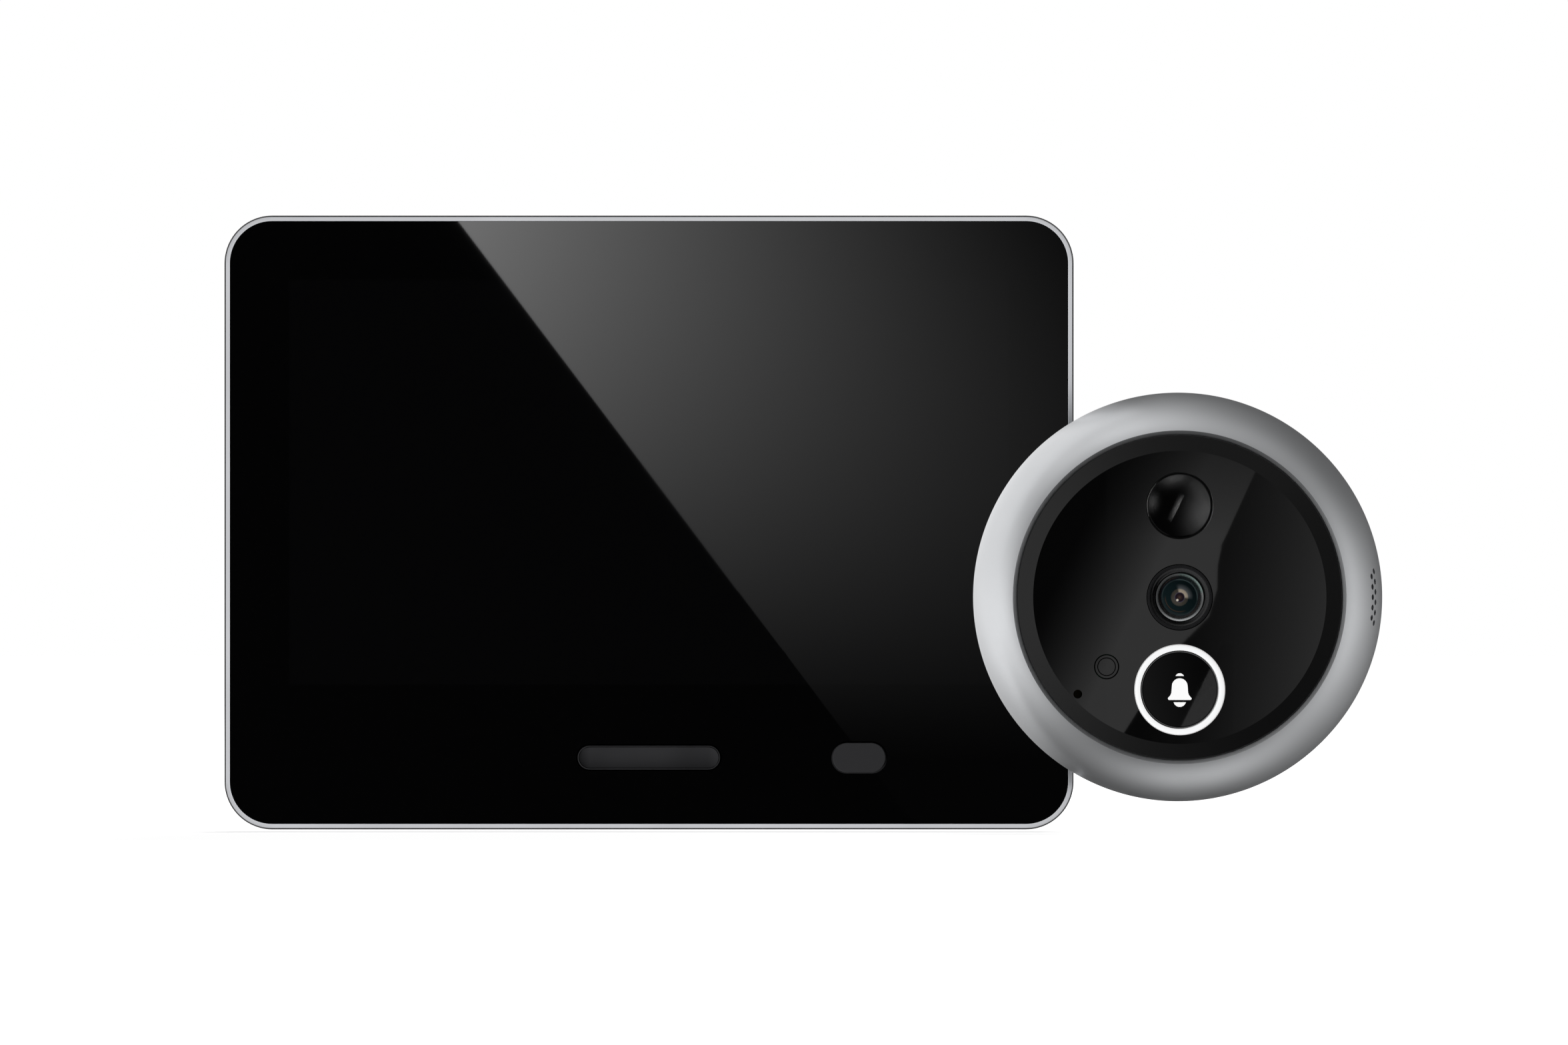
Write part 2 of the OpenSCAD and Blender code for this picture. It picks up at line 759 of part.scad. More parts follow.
module usb_socket() {
    wall = 0.4;
    tongue_h = 0.7;
    tongue_w = usb_w - 2.4;
    color("#b4b6ba") stand_up() translate([usb_mouth_x, usb_y, usb_z])
        rotate([0, 90, 0]) rotate([0, 0, 90]) {
        difference() {
            linear_extrude(usb_l) pill(usb_w, usb_h);
            translate([0, 0, -cut]) linear_extrude(usb_l - 1 + cut)
                pill(usb_w - 2 * wall, usb_h - 2 * wall);
        }
        translate([-tongue_w / 2, -tongue_h / 2, 0.6]) cube([tongue_w, tongue_h, usb_l - 1]);
    }
}

module ribbon_socket() {
    slot_w = ribbon_w - 3;
    slot_h = 1.4;
    slot_depth = 3;
    back = pocket_floor + 0.6;
    color("#e8e4d8") stand_up() difference() {
        block(0, ribbon_y, ribbon_w, ribbon_h, back, board_back);
        block(0, ribbon_y, slot_w, slot_h, back - cut, back + slot_depth);
    }
}

module monitor_microphone() {
    y = -inner_h / 2 + 0.3 + mic_case_l / 2;
    color("#c9b26a") stand_up()
        block(mic_hole_x, y, mic_case_w, mic_case_l, board_front, board_front + mic_case_h);
}

module wifi_antenna() {
    antenna_w = 36;
    antenna_t = 0.3;
    color("#b0793a") stand_up()
        block(0, inner_h / 2 - antenna_t / 2, antenna_w, antenna_t,
            shell_inside + inner_round + 2, board_back - 1);
}

module home_switch() {
    color("#2b2b2e") stand_up() translate([0, key_y, 0])
        key_switch(switch_w, switch_l, board_front, switch_front, stem_bore_r, stem_room);
}

module power_switch() {
    color("#2b2b2e") stand_up() translate([power_key_x, key_y, 0])
        key_switch(switch_w, switch_l, board_front, switch_front, stem_bore_r, stem_room);
}

module reset_switch() {
    depth = 3;
    width = 3.5;
    color("#2b2b2e") stand_up() difference() {
        block(reset_switch_x + depth / 2, reset_y, depth, width, reset_z - reset_behind_board, board_back);
        translate([reset_switch_x - cut, reset_y, reset_z]) rotate([0, 90, 0])
            cylinder(r = reset_r + 2 * part_gap, h = stem_dip + reset_travel + stem_spare + cut);
    }
}

module case_screws() {
    color("#3c3c40") stand_up() for (sx = [-1, 1], sy = [-1, 1])
        translate([sx * screw_x, sy * screw_y, screw_head_back])
            pan_screw(screw_head_r, screw_head_t, screw_r, board_front + screw_bite - screw_head_front);
}

// Monitor keys

module home_key() {
    scoop_r = (pow(home_key_w / 2 - 0.2, 2) + pow(home_key_scoop, 2)) / (2 * home_key_scoop);
    scoop_z = glass_front + scoop_r - home_key_scoop;
    scoop_l = home_key_l - home_key_w;
    color("#262628") stand_up() translate([0, key_y, 0]) {
        difference() {
            pill_plate(0, 0, home_key_l, home_key_w, key_flange_back, glass_front);
            translate([-scoop_l / 2, 0, scoop_z]) rotate([0, 90, 0]) cylinder(r = scoop_r, h = scoop_l);
            for (s = [-1, 1])
                translate([s * scoop_l / 2, 0, scoop_z]) sphere(scoop_r);
        }
        pill_plate(0, 0, home_key_l + 2 * key_flange, home_key_w + 2 * key_flange,
            key_flange_back, key_flange_front);
        post(0, 0, stem_r, switch_front - stem_dip, key_flange_back + cut / 2);
    }
}

module power_key() {
    bevel = 0.3;
    front = glass_front + power_key_proud;
    color("#2d2d2f") stand_up() translate([power_key_x, key_y, 0]) {
        pill_plate(0, 0, power_key_l, power_key_w, key_flange_back, front - bevel);
        pill_plate(0, 0, power_key_l - 2 * bevel, power_key_w - 2 * bevel, key_flange_back, front);
        pill_plate(0, 0, power_key_l + 2 * key_flange, power_key_w + 2 * key_flange,
            key_flange_back, key_flange_front);
        post(0, 0, stem_r, switch_front - stem_dip, key_flange_back + cut / 2);
    }
}

module reset_key() {
    tip_x = -case_w / 2 + 0.6;
    color("#2d2d2f") stand_up() translate([0, reset_y, reset_z]) {
        translate([tip_x, 0, 0]) rotate([0, 90, 0])
            cylinder(r = reset_r, h = reset_switch_x + stem_dip - tip_x);
        translate([reset_flange_x, 0, 0]) rotate([0, 90, 0])
            cylinder(r = reset_flange_r, h = reset_flange_t);
    }
}

// Door bracket and clamp sleeve

module door_bracket() {
    slot_l = 22;
    slot_w = 4;
    slot_edge = 5.5;
    color("#b7b9bd") stand_up() {
        difference() {
            plate(0, 0, plate_w, plate_h, plate_corner_r, plate_back, plate_front);
            post(0, 0, plate_bore_r, plate_back - cut, plate_front + cut);
            for (s = [-1, 1])
                pill_plate(0, s * (plate_h / 2 - slot_edge), slot_l, slot_w,
                    plate_back - cut, plate_front + cut);
        }
        for (s = [-1, 1], y = hook_ys) {
            block(s * hook_x, y - hook_h / 2, hook_w, hook_h, plate_back, hook_tip_front);
            block(s * hook_x, y + (hook_tip - hook_h) / 2, hook_w, hook_tip + hook_h,
                hook_tip_back, hook_tip_front);
        }
    }
}

module bracket_pads() {
    color("#7d1f1f") stand_up() for (sx = [-1, 1], sy = [-1, 1])
        plate(sx * pad_x, sy * pad_y, pad_w, pad_h, pad_corner_r, 0, plate_back);
}

module clamp_sleeve() {
    notch_w = 3;
    notch_depth = 2;
    end_z = plate_back - sleeve_l;
    chamfer = min(0.6, sleeve_wall / 2);
    color("#c9cbd0") stand_up() difference() {
        rotate_extrude() polygon([
            [sleeve_bore_r, end_z], [sleeve_r - chamfer, end_z], [sleeve_r, end_z + chamfer],
            [sleeve_r, plate_back - part_gap], [sleeve_collar_r, plate_back - part_gap],
            [sleeve_collar_r, flange_back], [sleeve_flange_r, flange_back],
            [sleeve_flange_r, flange_front], [sleeve_bore_r, flange_front]
        ]);
        for (k = [0:3])
            rotate([0, 0, 90 * k]) block(sleeve_flange_r, 0, 2 * notch_depth, notch_w,
                flange_back - cut / 2, flange_front + cut);
    }
}

// Bell housing

module bell_housing() {
    color("#a7a8ab") at_bell() difference() {
        union() {
            difference() {
                rotate_extrude() polygon(concat(
                    [[0, 0], [bell_r - back_chamfer, 0], [bell_r, back_chamfer]],
                    [for (i = [0:20]) flank(bell_r, flank_b, flank_end * i / 20)],
                    [[0, mouth_v]]
                ));
                rotate_extrude() polygon(concat(
                    [[0, -cut], [bell_r - bell_wall, -cut]],
                    [for (i = [0:14]) flank(bell_r - bell_wall, lining_b, lining_end * i / 14)],
                    [[0, ledge_back]]
                ));
            }
            for (a = cover_screw_angles)
                rotate([0, 0, a]) post(cover_screw_ring, 0, cover_boss_r, cover_t, ledge_back - 1.3);
        }
        post(0, 0, ledge_r, ledge_back - cut, window_back + cut);
        post(0, 0, seat_r, window_back, mouth_v + cut);
        translate([0, 0, mouth_v - mouth_chamfer])
            cylinder(r1 = seat_r, r2 = seat_r + 2 * mouth_chamfer, h = 2 * mouth_chamfer);
        for (a = cover_screw_angles)
            rotate([0, 0, a]) post(cover_screw_ring, 0, cover_screw_r + part_gap / 2,
                cover_t - cut, ledge_back - 3);
        sound_holes();
    }
}

// Point of the flank at an angle of its ellipse, for the outside or the lining
function flank(r, b, a) = [r - flank_a * (1 - cos(a)), bell_side_h + b * sin(a)];

// Two staggered rows of holes in the right flank, drilled square to the surface
module sound_holes() {
    rows = [[37, 5], [31.5, 6]];
    drill = 3 * bell_wall;
    for (row = rows, i = [0:row[1] - 1]) {
        spot = flank(bell_r, flank_b, row[0]);
        tilt = atan(flank_a / flank_b * tan(row[0]));
        turn = asin((i - (row[1] - 1) / 2) * sound_hole_pitch / spot[0]);
        rotate([0, 0, turn]) translate([spot[0], 0, spot[1]]) rotate([0, 90 - tilt, 0])
            translate([0, 0, -drill / 2]) cylinder(d = sound_hole_d, h = drill);
    }
}

module bell_window() {
    color("#0a0a0b") at_bell() difference() {
        rotate_extrude() polygon([
            [0, window_back], [window_r, window_back], [window_r, window_front - window_bevel],
            [window_flat_r, window_front], [0, window_front]
        ]);
        post(0, pir_up, pir_r + face_gap, window_back - cut, window_front + cut);
        post(0, 0, shroud_r + face_gap, window_back - cut, window_front + cut);
        post(0, -button_down, ring_out_r + face_gap, window_back - cut, window_front + cut);
        post(light_x, light_y, light_r + face_gap / 2, window_back - cut, window_front + cut);
        post(mic_x, mic_y, mic_d / 2, window_back - cut, window_front + cut);
    }
}

// Carrier behind the window, stepped to clamp the face pieces against it
module bell_chassis() {
    color("#17171a") at_bell() difference() {
        post(0, 0, chassis_r, chassis_back, window_back);
        clamp_hole(0, pir_up, pir_r);
        clamp_hole(0, 0, shroud_r);
        clamp_hole(0, -button_down, ring_out_r);
        post(light_x, light_y, light_r, chassis_back - cut, window_back + cut);
        post(mic_x, mic_y, mic_boot_r + part_gap, chassis_back - cut, window_back + cut);
        chassis_flat();
    }
}

// Keeps the chassis clear of the bell's loudspeaker
module chassis_flat() {
    translate([bell_board_flat, -chassis_r, chassis_back - cut])
        cube([chassis_r, 2 * chassis_r, window_back - chassis_back - 0.8 + cut]);
}

module clamp_hole(x, y, r) {
    post(x, y, r + clamp_w + part_gap, clamp_back, window_back + cut);
    post(x, y, r + face_gap, chassis_back - cut, window_back);
}

module bell_rear_cover() {
    standoff_r = 1.7;
    color("#1c1c1e") at_bell() difference() {
        union() {
            post(0, 0, cover_r, 0, cover_t);
            for (a = board_screw_angles)
                rotate([0, 0, a]) post(board_screw_ring, 0, standoff_r, 0, bell_board_back);
        }
        post(0, 0, barrel_r + part_gap / 2, -cut, cover_t + cut);
        for (a = cover_screw_angles) rotate([0, 0, a]) {
            post(cover_screw_ring, 0, cover_screw_r + part_gap, -cut, cover_t + cut);
            post(cover_screw_ring, 0, cover_head_r + part_gap, -cut, cover_head_t + part_gap);
        }
        for (a = board_screw_angles)
            rotate([0, 0, a]) post(board_screw_ring, 0, board_screw_r + part_gap / 2,
                cover_t - 0.6, bell_board_back + cut);
    }
}

module bell_gasket() {
    color("#2f3033") at_bell() difference() {
        post(0, 0, cover_r - 0.5, -gasket_t, 0);
        post(0, 0, gasket_hole_r, -gasket_t - cut, cut);
    }
}

module threaded_barrel() {
    end_v = barrel_end - bell_back;
    start_v = thread_start - bell_back;
    color("#c2c4c8") at_bell() rotate_extrude() polygon(concat(
        [[barrel_bore_r, cover_t + barrel_flange_t], [barrel_bore_r, end_v], [thread_root_r, end_v]],
        [for (i = [0:thread_turns - 1], step = [0:1])
            let (v = end_v + thread_pitch / 2 + i * thread_pitch)
            step == 0 ? [thread_root_r, v] : [thread_crest_r, v + thread_pitch / 2]],
        [[thread_root_r, start_v], [barrel_r, start_v + thread_pitch / 2], [barrel_r, -gasket_t],
         [barrel_groove_r, -gasket_t], [barrel_groove_r, cover_t],
         [barrel_flange_r, cover_t], [barrel_flange_r, cover_t + barrel_flange_t]]
    ));
}

module barrel_o_ring() {
    color("#111113") at_bell() translate([0, 0, -gasket_t / 2])
        rotate_extrude() translate([barrel_groove_r + part_gap / 2 + o_ring_r, 0])
            circle(min(o_ring_r, gasket_t / 2 - 0.02));
}

// Rubber plug in the barrel's end, with the slot that the ribbon comes out of
module barrel_grommet() {
    end_v = barrel_end - bell_back;
    plug_l = 5;
    lip_t = 1.2;
    lip_r = barrel_bore_r + 0.9;
    slot_w = 1.5 * barrel_bore_r;
    slot_h = 0.9;
    color("#1a1a1b") at_bell() difference() {
        union() {
            post(0, 0, barrel_bore_r - part_gap / 2, end_v - lip_t / 2, end_v + plug_l);
            post(0, 0, lip_r, end_v - lip_t, end_v);
        }
        block(0, 0, slot_w, slot_h, end_v - lip_t - cut, end_v + plug_l + cut);
    }
}

module cover_screws() {
    color("#8b8d91") at_bell() for (a = cover_screw_angles)
        rotate([0, 0, a]) translate([cover_screw_ring, 0, 0])
            pan_screw(cover_head_r, cover_head_t, cover_screw_r, ledge_back - 4 - cover_head_t);
}

// Bell electronics

module bell_board() {
    color("#14532d") at_bell() difference() {
        post(0, 0, bell_board_r, bell_board_back, bell_board_front);
        translate([bell_board_flat, -bell_board_r, bell_board_back - cut])
            cube([bell_board_r, 2 * bell_board_r, board_t + 2 * cut]);
        for (a = board_screw_angles)
            rotate([0, 0, a]) post(board_screw_ring, 0, board_screw_r + part_gap,
                bell_board_back - cut, bell_board_front + cut);
    }
}

module bell_board_screws() {
    head_t = 0.9;
    head_r = 1.5;
    color("#8b8d91") at_bell() for (a = board_screw_angles)
        rotate([0, 0, a]) translate([board_screw_ring, 0, bell_board_front + head_t]) rotate([180, 0, 0])
            pan_screw(head_r, head_t, board_screw_r, bell_board_front - cover_t);
}

module bell_processor() {
    x = -12.5;
    y = -3;
    side = 7;
    height = 1;
    color("#202124") at_bell() block(x, y, side, side, bell_board_back - height, bell_board_back);
}

module bell_ribbon_socket() {
    socket_h = min(1.5, bell_board_gap - barrel_flange_t - 0.2);
    socket_l = 9;
    socket_w = 4;
    color("#e8e4d8") at_bell()
        block(0, 0, socket_l, socket_w, bell_board_back - socket_h, bell_board_back);
}

module pir_lens() {
    dome_v = pir_dome_base + pir_rise - pir_dome_r;
    inner_r = pir_dome_r - pir_wall;
    edge = asin(pir_r / pir_dome_r);
    inner_edge = asin((pir_r - pir_wall) / inner_r);
    color("#1a1a1c") at_bell() translate([0, pir_up, 0]) rotate_extrude() polygon(concat(
        [[pir_r - pir_wall, clamp_back], [pir_r + clamp_w, clamp_back], [pir_r + clamp_w, window_back],
         [pir_r, window_back]],
        arc(0, dome_v, pir_dome_r, 90 - edge, 90, 12),
        arc(0, dome_v, inner_r, 90, 90 - inner_edge, 12)
    ));
}

module pir_sensor() {
    can_r = 3.9;
    base_r = 4.4;
    base_t = 0.5;
    window = 4;
    top = min(bell_board_front + 4.2, chassis_back - 0.2);
    color("#b9bbc0") at_bell() translate([0, pir_up, 0]) difference() {
        union() {
            post(0, 0, base_r, bell_board_front, bell_board_front + base_t);
            post(0, 0, can_r, bell_board_front, top);
        }
        block(0, 0, window, window - 1, top - 0.2, top + cut);
    }
}

// Stepped funnel round the lens
module lens_shroud() {
    bore_r = lens_r + part_gap;
    color("#141416") at_bell() rotate_extrude() polygon([
        [bore_r, clamp_back], [shroud_r + clamp_w, clamp_back], [shroud_r + clamp_w, window_back],
        [shroud_r, window_back], [shroud_r, shroud_front], [shroud_r - 0.35, shroud_front],
        [shroud_r - 0.5, shroud_front - 0.25], [bore_r + 0.25, shroud_front - 0.5],
        [bore_r + 0.15, lens_front - 0.3], [bore_r, lens_front - 0.3]
    ]);
}

// Lens barrel: front rim, seat of the front glass, iris cone and rear bore
module lens_barrel() {
    seat_v = lens_front - glass_seat;
    color("#1d1d20") at_bell() rotate_extrude() polygon([
        [rear_bore_r, lens_back], [lens_r, lens_back], [lens_r, lens_front],
        [front_glass_r + part_gap / 2, lens_front], [front_glass_r + part_gap / 2, seat_v],
        [front_glass_r - 0.5, seat_v], [inner_glass_r + part_gap / 2, inner_glass_front],
        [inner_glass_r + part_gap / 2, inner_glass_front - inner_glass_t],
        [iris_r, inner_glass_front - inner_glass_t], [iris_r, inner_glass_front - inner_glass_t - 0.4],
        [rear_bore_r, inner_glass_front - inner_glass_t - 0.8]
    ]);
}

// Meniscus of a given edge radius, with a bulging front and a flat back
module lens_element(r, back, edge_t, bulge) {
    dome_r = (pow(r, 2) + pow(bulge, 2)) / (2 * bulge);
    edge = asin(r / dome_r);
    at_bell() rotate_extrude() polygon(concat(
        [[0, back], [r, back]],
        arc(0, back + edge_t + bulge - dome_r, dome_r, 90 - edge, 90, 10)
    ));
}

module lens_front_glass() {
    color("#16303a") lens_element(front_glass_r, lens_front - glass_seat, 0.5, 0.7);
}

module lens_inner_glass() {
    color("#3a2c22") lens_element(inner_glass_r, inner_glass_front - inner_glass_t, 0.4, 0.35);
}

module lens_holder() {
    side = 9;
    sensor_room = 6;
    color("#1d1d20") at_bell() difference() {
        plate(0, 0, side, side, 1, bell_board_front, bell_board_front + holder_h);
        post(0, 0, lens_r + part_gap / 2, lens_back - part_gap, bell_board_front + holder_h + cut);
        block(0, 0, sensor_room, sensor_room, bell_board_front - cut, lens_back);
    }
}

module image_sensor() {
    side = 5;
    height = 0.9;
    color("#31404a") at_bell() block(0, 0, side, side, bell_board_front, bell_board_front + height);
}

// Light guide round the button: flange, visible ring and skirt down to the lamps
module light_ring() {
    skirt_back = bell_board_front + led_h + 0.3;
    skirt_in_r = button_flange_r + 0.15;
    color("#f4f4f4") at_bell() translate([0, -button_down, 0]) rotate_extrude() polygon([
        [skirt_in_r, skirt_back], [ring_out_r, skirt_back], [ring_out_r, clamp_back],
        [ring_skirt_r, clamp_back], [ring_skirt_r, window_back], [ring_out_r, window_back],
        [ring_out_r, window_front], [ring_in_r, window_front],
        [ring_in_r, button_shoulder], [skirt_in_r, button_shoulder]
    ]);
}

module ring_leds() {
    led_w = 1;
    color("#f3efd2") at_bell() translate([0, -button_down, 0]) for (a = [45:90:315])
        rotate([0, 0, a]) block(ring_out_r - led_w / 2, 0, led_w, led_w,
            bell_board_front, bell_board_front + led_h);
}

// Bell pictogram: knob, bell with a flared lip, and clapper
module bell_outline() {
    dome_r = 1.03;
    dome_y = 0.47;
    lip_r = 0.18;
    lip_x = 1.37;
    lip_y = -1.16;
    polygon(arc(0, 1.56, 0.6, 24, 156, 16));
    polygon(concat(
        arc(0, dome_y, dome_r, 0, 180, 24), [[-1.1, -0.4], [-1.22, -0.72]],
        arc(-lip_x, lip_y, lip_r, 130, 270, 8), arc(lip_x, lip_y, lip_r, -90, 50, 8),
        [[1.22, -0.72], [1.1, -0.4]]
    ));
    polygon(arc(0, -1.42, 0.83, 195, 345, 16));
}

module bell_button() {
    color("#0b0b0c") at_bell() translate([0, -button_down, 0]) difference() {
        union() {
            post(0, 0, button_r, button_flange_back, button_front);
            post(0, 0, button_flange_r, button_flange_back, button_flange_front);
            post(0, 0, bell_stem_r, bell_switch_front - stem_dip, button_flange_back + cut / 2);
        }
        translate([0, 0, button_front - symbol_t]) linear_extrude(symbol_t + cut) bell_outline();
    }
}

module bell_symbol() {
    color("#fbfbfb") at_bell() translate([0, -button_down, button_front - symbol_t])
        linear_extrude(symbol_t) bell_outline();
}

module bell_switch() {
    color("#2b2b2e") at_bell() translate([0, -button_down, 0])
        key_switch(switch_w, switch_w, bell_board_front, bell_switch_front, bell_stem_r + 2 * part_gap,
            stem_dip + button_travel + stem_spare);
}

module infrared_leds() {
    side = 3;
    height = 1.4;
    color("#3b2030") at_bell() for (p = infrared_led_places)
        block(p[0], p[1], side, side, bell_board_front, bell_board_front + height);
}

// Lens of the light sensor, with a fine ring groove in its face
module light_sensor_lens() {
    rod_r = light_r - 0.4;
    groove_w = 0.12;
    front = window_front - 0.05;
    color("#232325") at_bell() translate([light_x, light_y, 0]) rotate_extrude() polygon([
        [0, bell_board_front + led_h + 0.4], [rod_r, bell_board_front + led_h + 0.4], [rod_r, window_back],
        [light_r - face_gap / 2, window_back], [light_r - face_gap / 2, front], [rod_r, front],
        [rod_r, front - groove_w], [rod_r - groove_w, front - groove_w], [rod_r - groove_w, front],
        [0, front]
    ]);
}

module light_sensor_chip() {
    chip_w = 2;
    chip_h = 1.6;
    color("#d9c9a0") at_bell()
        block(light_x, light_y, chip_w, chip_h, bell_board_front, bell_board_front + led_h);
}

module mic_boot() {
    color("#1f1f21") at_bell() translate([mic_x, mic_y, 0]) difference() {
        post(0, 0, mic_boot_r, bell_board_front + mic_can_h, window_back);
        post(0, 0, mic_d / 2, bell_board_front + mic_can_h - cut, window_back + cut);
    }
}

module bell_microphone() {
    color("#c9b26a") at_bell() post(mic_x, mic_y, 1.3, bell_board_front, bell_board_front + mic_can_h);
}

module bell_speaker() {
    w = 4.4;
    h = 13;
    cone_t = 0.6;
    x0 = bell_board_flat + 0.6;
    v0 = cover_t + 0.5;
    v1 = chassis_back - 0.4;
    color("#2a2a2c") at_bell() difference() {
        translate([x0, -h / 2, v0]) cube([w, h, v1 - v0]);
        translate([x0 + w - cone_t, -h / 2 + 1, v0 + 1]) cube([w, h - 2, v1 - v0 - 2]);
    }
}

rear_shell();
metal_rim();
cover_glass();
display_cell();
display_backlight();
main_board();
processor_shield();
radio_shield();
board_chips();
battery_cell_left();
battery_cell_right();
battery_foam();
monitor_speaker();
usb_socket();
ribbon_socket();
monitor_microphone();
wifi_antenna();
home_switch();
power_switch();
reset_switch();
case_screws();
home_key();
power_key();
reset_key();
door_bracket();
bracket_pads();
clamp_sleeve();
bell_housing();
bell_window();
bell_chassis();
bell_rear_cover();
bell_gasket();
threaded_barrel();
barrel_o_ring();
barrel_grommet();
cover_screws();
bell_board();
bell_board_screws();
bell_processor();
bell_ribbon_socket();
pir_lens();
pir_sensor();
lens_shroud();
lens_barrel();
lens_front_glass();
lens_inner_glass();
lens_holder();
image_sensor();
light_ring();
ring_leds();
bell_button();
bell_symbol();
bell_switch();
infrared_leds();
light_sensor_lens();
light_sensor_chip();
mic_boot();
bell_microphone();
bell_speaker();
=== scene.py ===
"""Peephole door camera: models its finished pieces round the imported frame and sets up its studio."""
import json
import math
from types import SimpleNamespace

import bpy
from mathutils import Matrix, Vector


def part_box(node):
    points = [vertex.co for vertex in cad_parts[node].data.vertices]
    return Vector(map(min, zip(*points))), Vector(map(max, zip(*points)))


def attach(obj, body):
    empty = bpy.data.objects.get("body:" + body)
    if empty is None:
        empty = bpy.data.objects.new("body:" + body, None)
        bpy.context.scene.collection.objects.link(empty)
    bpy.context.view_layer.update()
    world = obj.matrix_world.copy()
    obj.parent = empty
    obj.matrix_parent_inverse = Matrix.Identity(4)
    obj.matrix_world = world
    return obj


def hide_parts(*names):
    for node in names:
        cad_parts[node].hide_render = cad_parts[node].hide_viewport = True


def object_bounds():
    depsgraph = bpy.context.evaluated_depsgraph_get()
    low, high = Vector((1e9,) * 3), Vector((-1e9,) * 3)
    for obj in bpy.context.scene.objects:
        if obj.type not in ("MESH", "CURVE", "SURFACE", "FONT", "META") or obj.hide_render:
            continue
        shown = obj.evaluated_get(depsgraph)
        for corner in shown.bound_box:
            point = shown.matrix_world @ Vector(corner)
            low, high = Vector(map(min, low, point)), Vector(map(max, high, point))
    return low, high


bl_info = {
    "name": "Peephole Door Camera",
    "version": (1, 0, 0),
    "blender": (4, 5, 0),
    "location": "3D View > Sidebar > Door Camera",
    "description": "Models the finished pieces of a peephole door camera and its studio",
    "category": "Object",
}

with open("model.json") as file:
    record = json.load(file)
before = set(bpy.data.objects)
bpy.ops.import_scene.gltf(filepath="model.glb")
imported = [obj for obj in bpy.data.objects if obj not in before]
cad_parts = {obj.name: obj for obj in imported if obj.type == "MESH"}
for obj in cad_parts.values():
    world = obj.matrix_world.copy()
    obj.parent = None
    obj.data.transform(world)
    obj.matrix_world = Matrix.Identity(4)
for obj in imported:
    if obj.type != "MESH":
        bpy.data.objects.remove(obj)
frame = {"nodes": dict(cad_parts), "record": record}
cad_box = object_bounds()

MM = 0.001
# Points closer than this are one point
MERGE = 1e-6
# Steps of a full turn in a spun piece
TURN_STEPS = 192
# How far a cutter passes the faces that it opens
OVERCUT = 0.5 * MM
# Steps of a round corner on the monitor's front
CORNER_STEPS = 24
# Sound holes in the inner and the outer row
SOUND_HOLES = (5, 6)
# Reach of the lens finishes' rings of colour in millimetres
LENS_REACH = 5.0
# Radii in millimetres between which the shroud's grey funnel turns black
SHROUD_BAND = (3.8, 3.86)
# Values between which most of a noise lies
NOISE_LOW = 0.3
NOISE_HIGH = 0.7
# Glow of the white light guide, and the painted glow of the white symbol
GLOW = 0.48
# Share of the light that a glass mirror throws straight back
MIRROR_SHARE = 0.04
# A display's curve from a grey to its light
GREY_OFFSET = 0.055
GREY_POWER = 2.4
# Share by which each light shell is larger than the one before it
SHELL_STEP = 0.02
# Where the fill lights point, in metres
FILL_AIM = (0.03, -0.02, 0)
# Fill lights: direction, distance and size in metres, power in watts
FILL_LIGHTS = {
    "fill_low_left": ((-0.62, -0.75, -0.55), 0.6, 0.2, 2.9),
    "fill_back": ((0.5, 1.0, 0.9), 1.2, 0.8, 6),
    "fill_top": ((0.2, -0.3, 1.0), 1.2, 0.8, 3),
}
# Soft light fields: degrees round the view from the right, degrees off the view, strength,
# and half width in degrees
ROOM_FIELDS = (
    (90, 125, 0.5, 40),
    (200, 140, 0.3, 40),
    (-20, 140, 0.3, 40),
)
METAL_FIELDS = (
    (186, 92, 1.1, 28),
    (116, 92, 0.85, 25),
    (198, 56, 0.55, 22),
    (104, 56, 0.5, 24),
    (-8, 74, 0.92, 30),
    (-12, 125, 0.27, 26),
    (278, 96, 0.66, 25),
    (282, 66, 0.2, 20),
    (65, 82, 0.3, 28),
    (95, 130, 0.2, 24),
)
RIM_FIELDS = (
    (0, 0, 1.0, 95),
)
WINDOW_FIELDS = (
    (0, 52, 0.1, 22),
    (45, 52, 0.1, 22),
    (315, 52, 0.06, 22),
    (198, 52, 0.5, 18),
    (165, 52, 0.45, 18),
    (135, 52, 0.42, 18),
    (100, 52, 0.2, 18),
    (232, 52, 0.3, 18),
    (60, 52, 0.12, 18),
    (270, 52, 0.12, 18),
    (0, 180, 0.9, 60),
)
LENS_FIELDS = (
    (90, 80, 0.45, 34),
    (215, 66, 0.2, 34),
)
DOME_FIELDS = (
    (172, 77, 0.75, 13),
    (100, 83, 0.95, 19),
    (-15, 69, 1.25, 34),
    (45, 73, 0.4, 21),
)
GLASS_FIELDS = (
    (205, 60, 0.7, 18),
    (-25, 60, 0.7, 18),
    (270, 62, 0.5, 18),
    (90, 60, 0.5, 18),
)
DOOR_FIELDS = (
    (170, 140, 1.0, 32),
    (90, 115, 1.0, 32),
    (0, 140, 0.6, 30),
    (270, 120, 0.3, 40),
)
# Light groups: the dim light all round, the fields and the finishes that they fall on
LIGHT_GROUPS = {
    "metal_light": (0.02, METAL_FIELDS, ("bell_metal",)),
    "rim_light": (0.01, RIM_FIELDS, ("rim_metal",)),
    "window_light": (0.0, WINDOW_FIELDS, ("window_black", "sensor_window")),
    "lens_light": (0.05, LENS_FIELDS, ("lens_black",)),
    "dome_light": (0.0, DOME_FIELDS, ("pir_black",)),
    "door_light": (0.15, DOOR_FIELDS, ("bracket_steel", "sleeve_metal", "screw_steel")),
    "room_light": (0.05, ROOM_FIELDS, ("shell_plastic", "bell_plastic", "seal_rubber", "pad_adhesive")),
    "glass_light": (0.0, GLASS_FIELDS, ("cover_glass",)),
    "button_light": (0.0, (), ("button_black",)),
}


# Properties

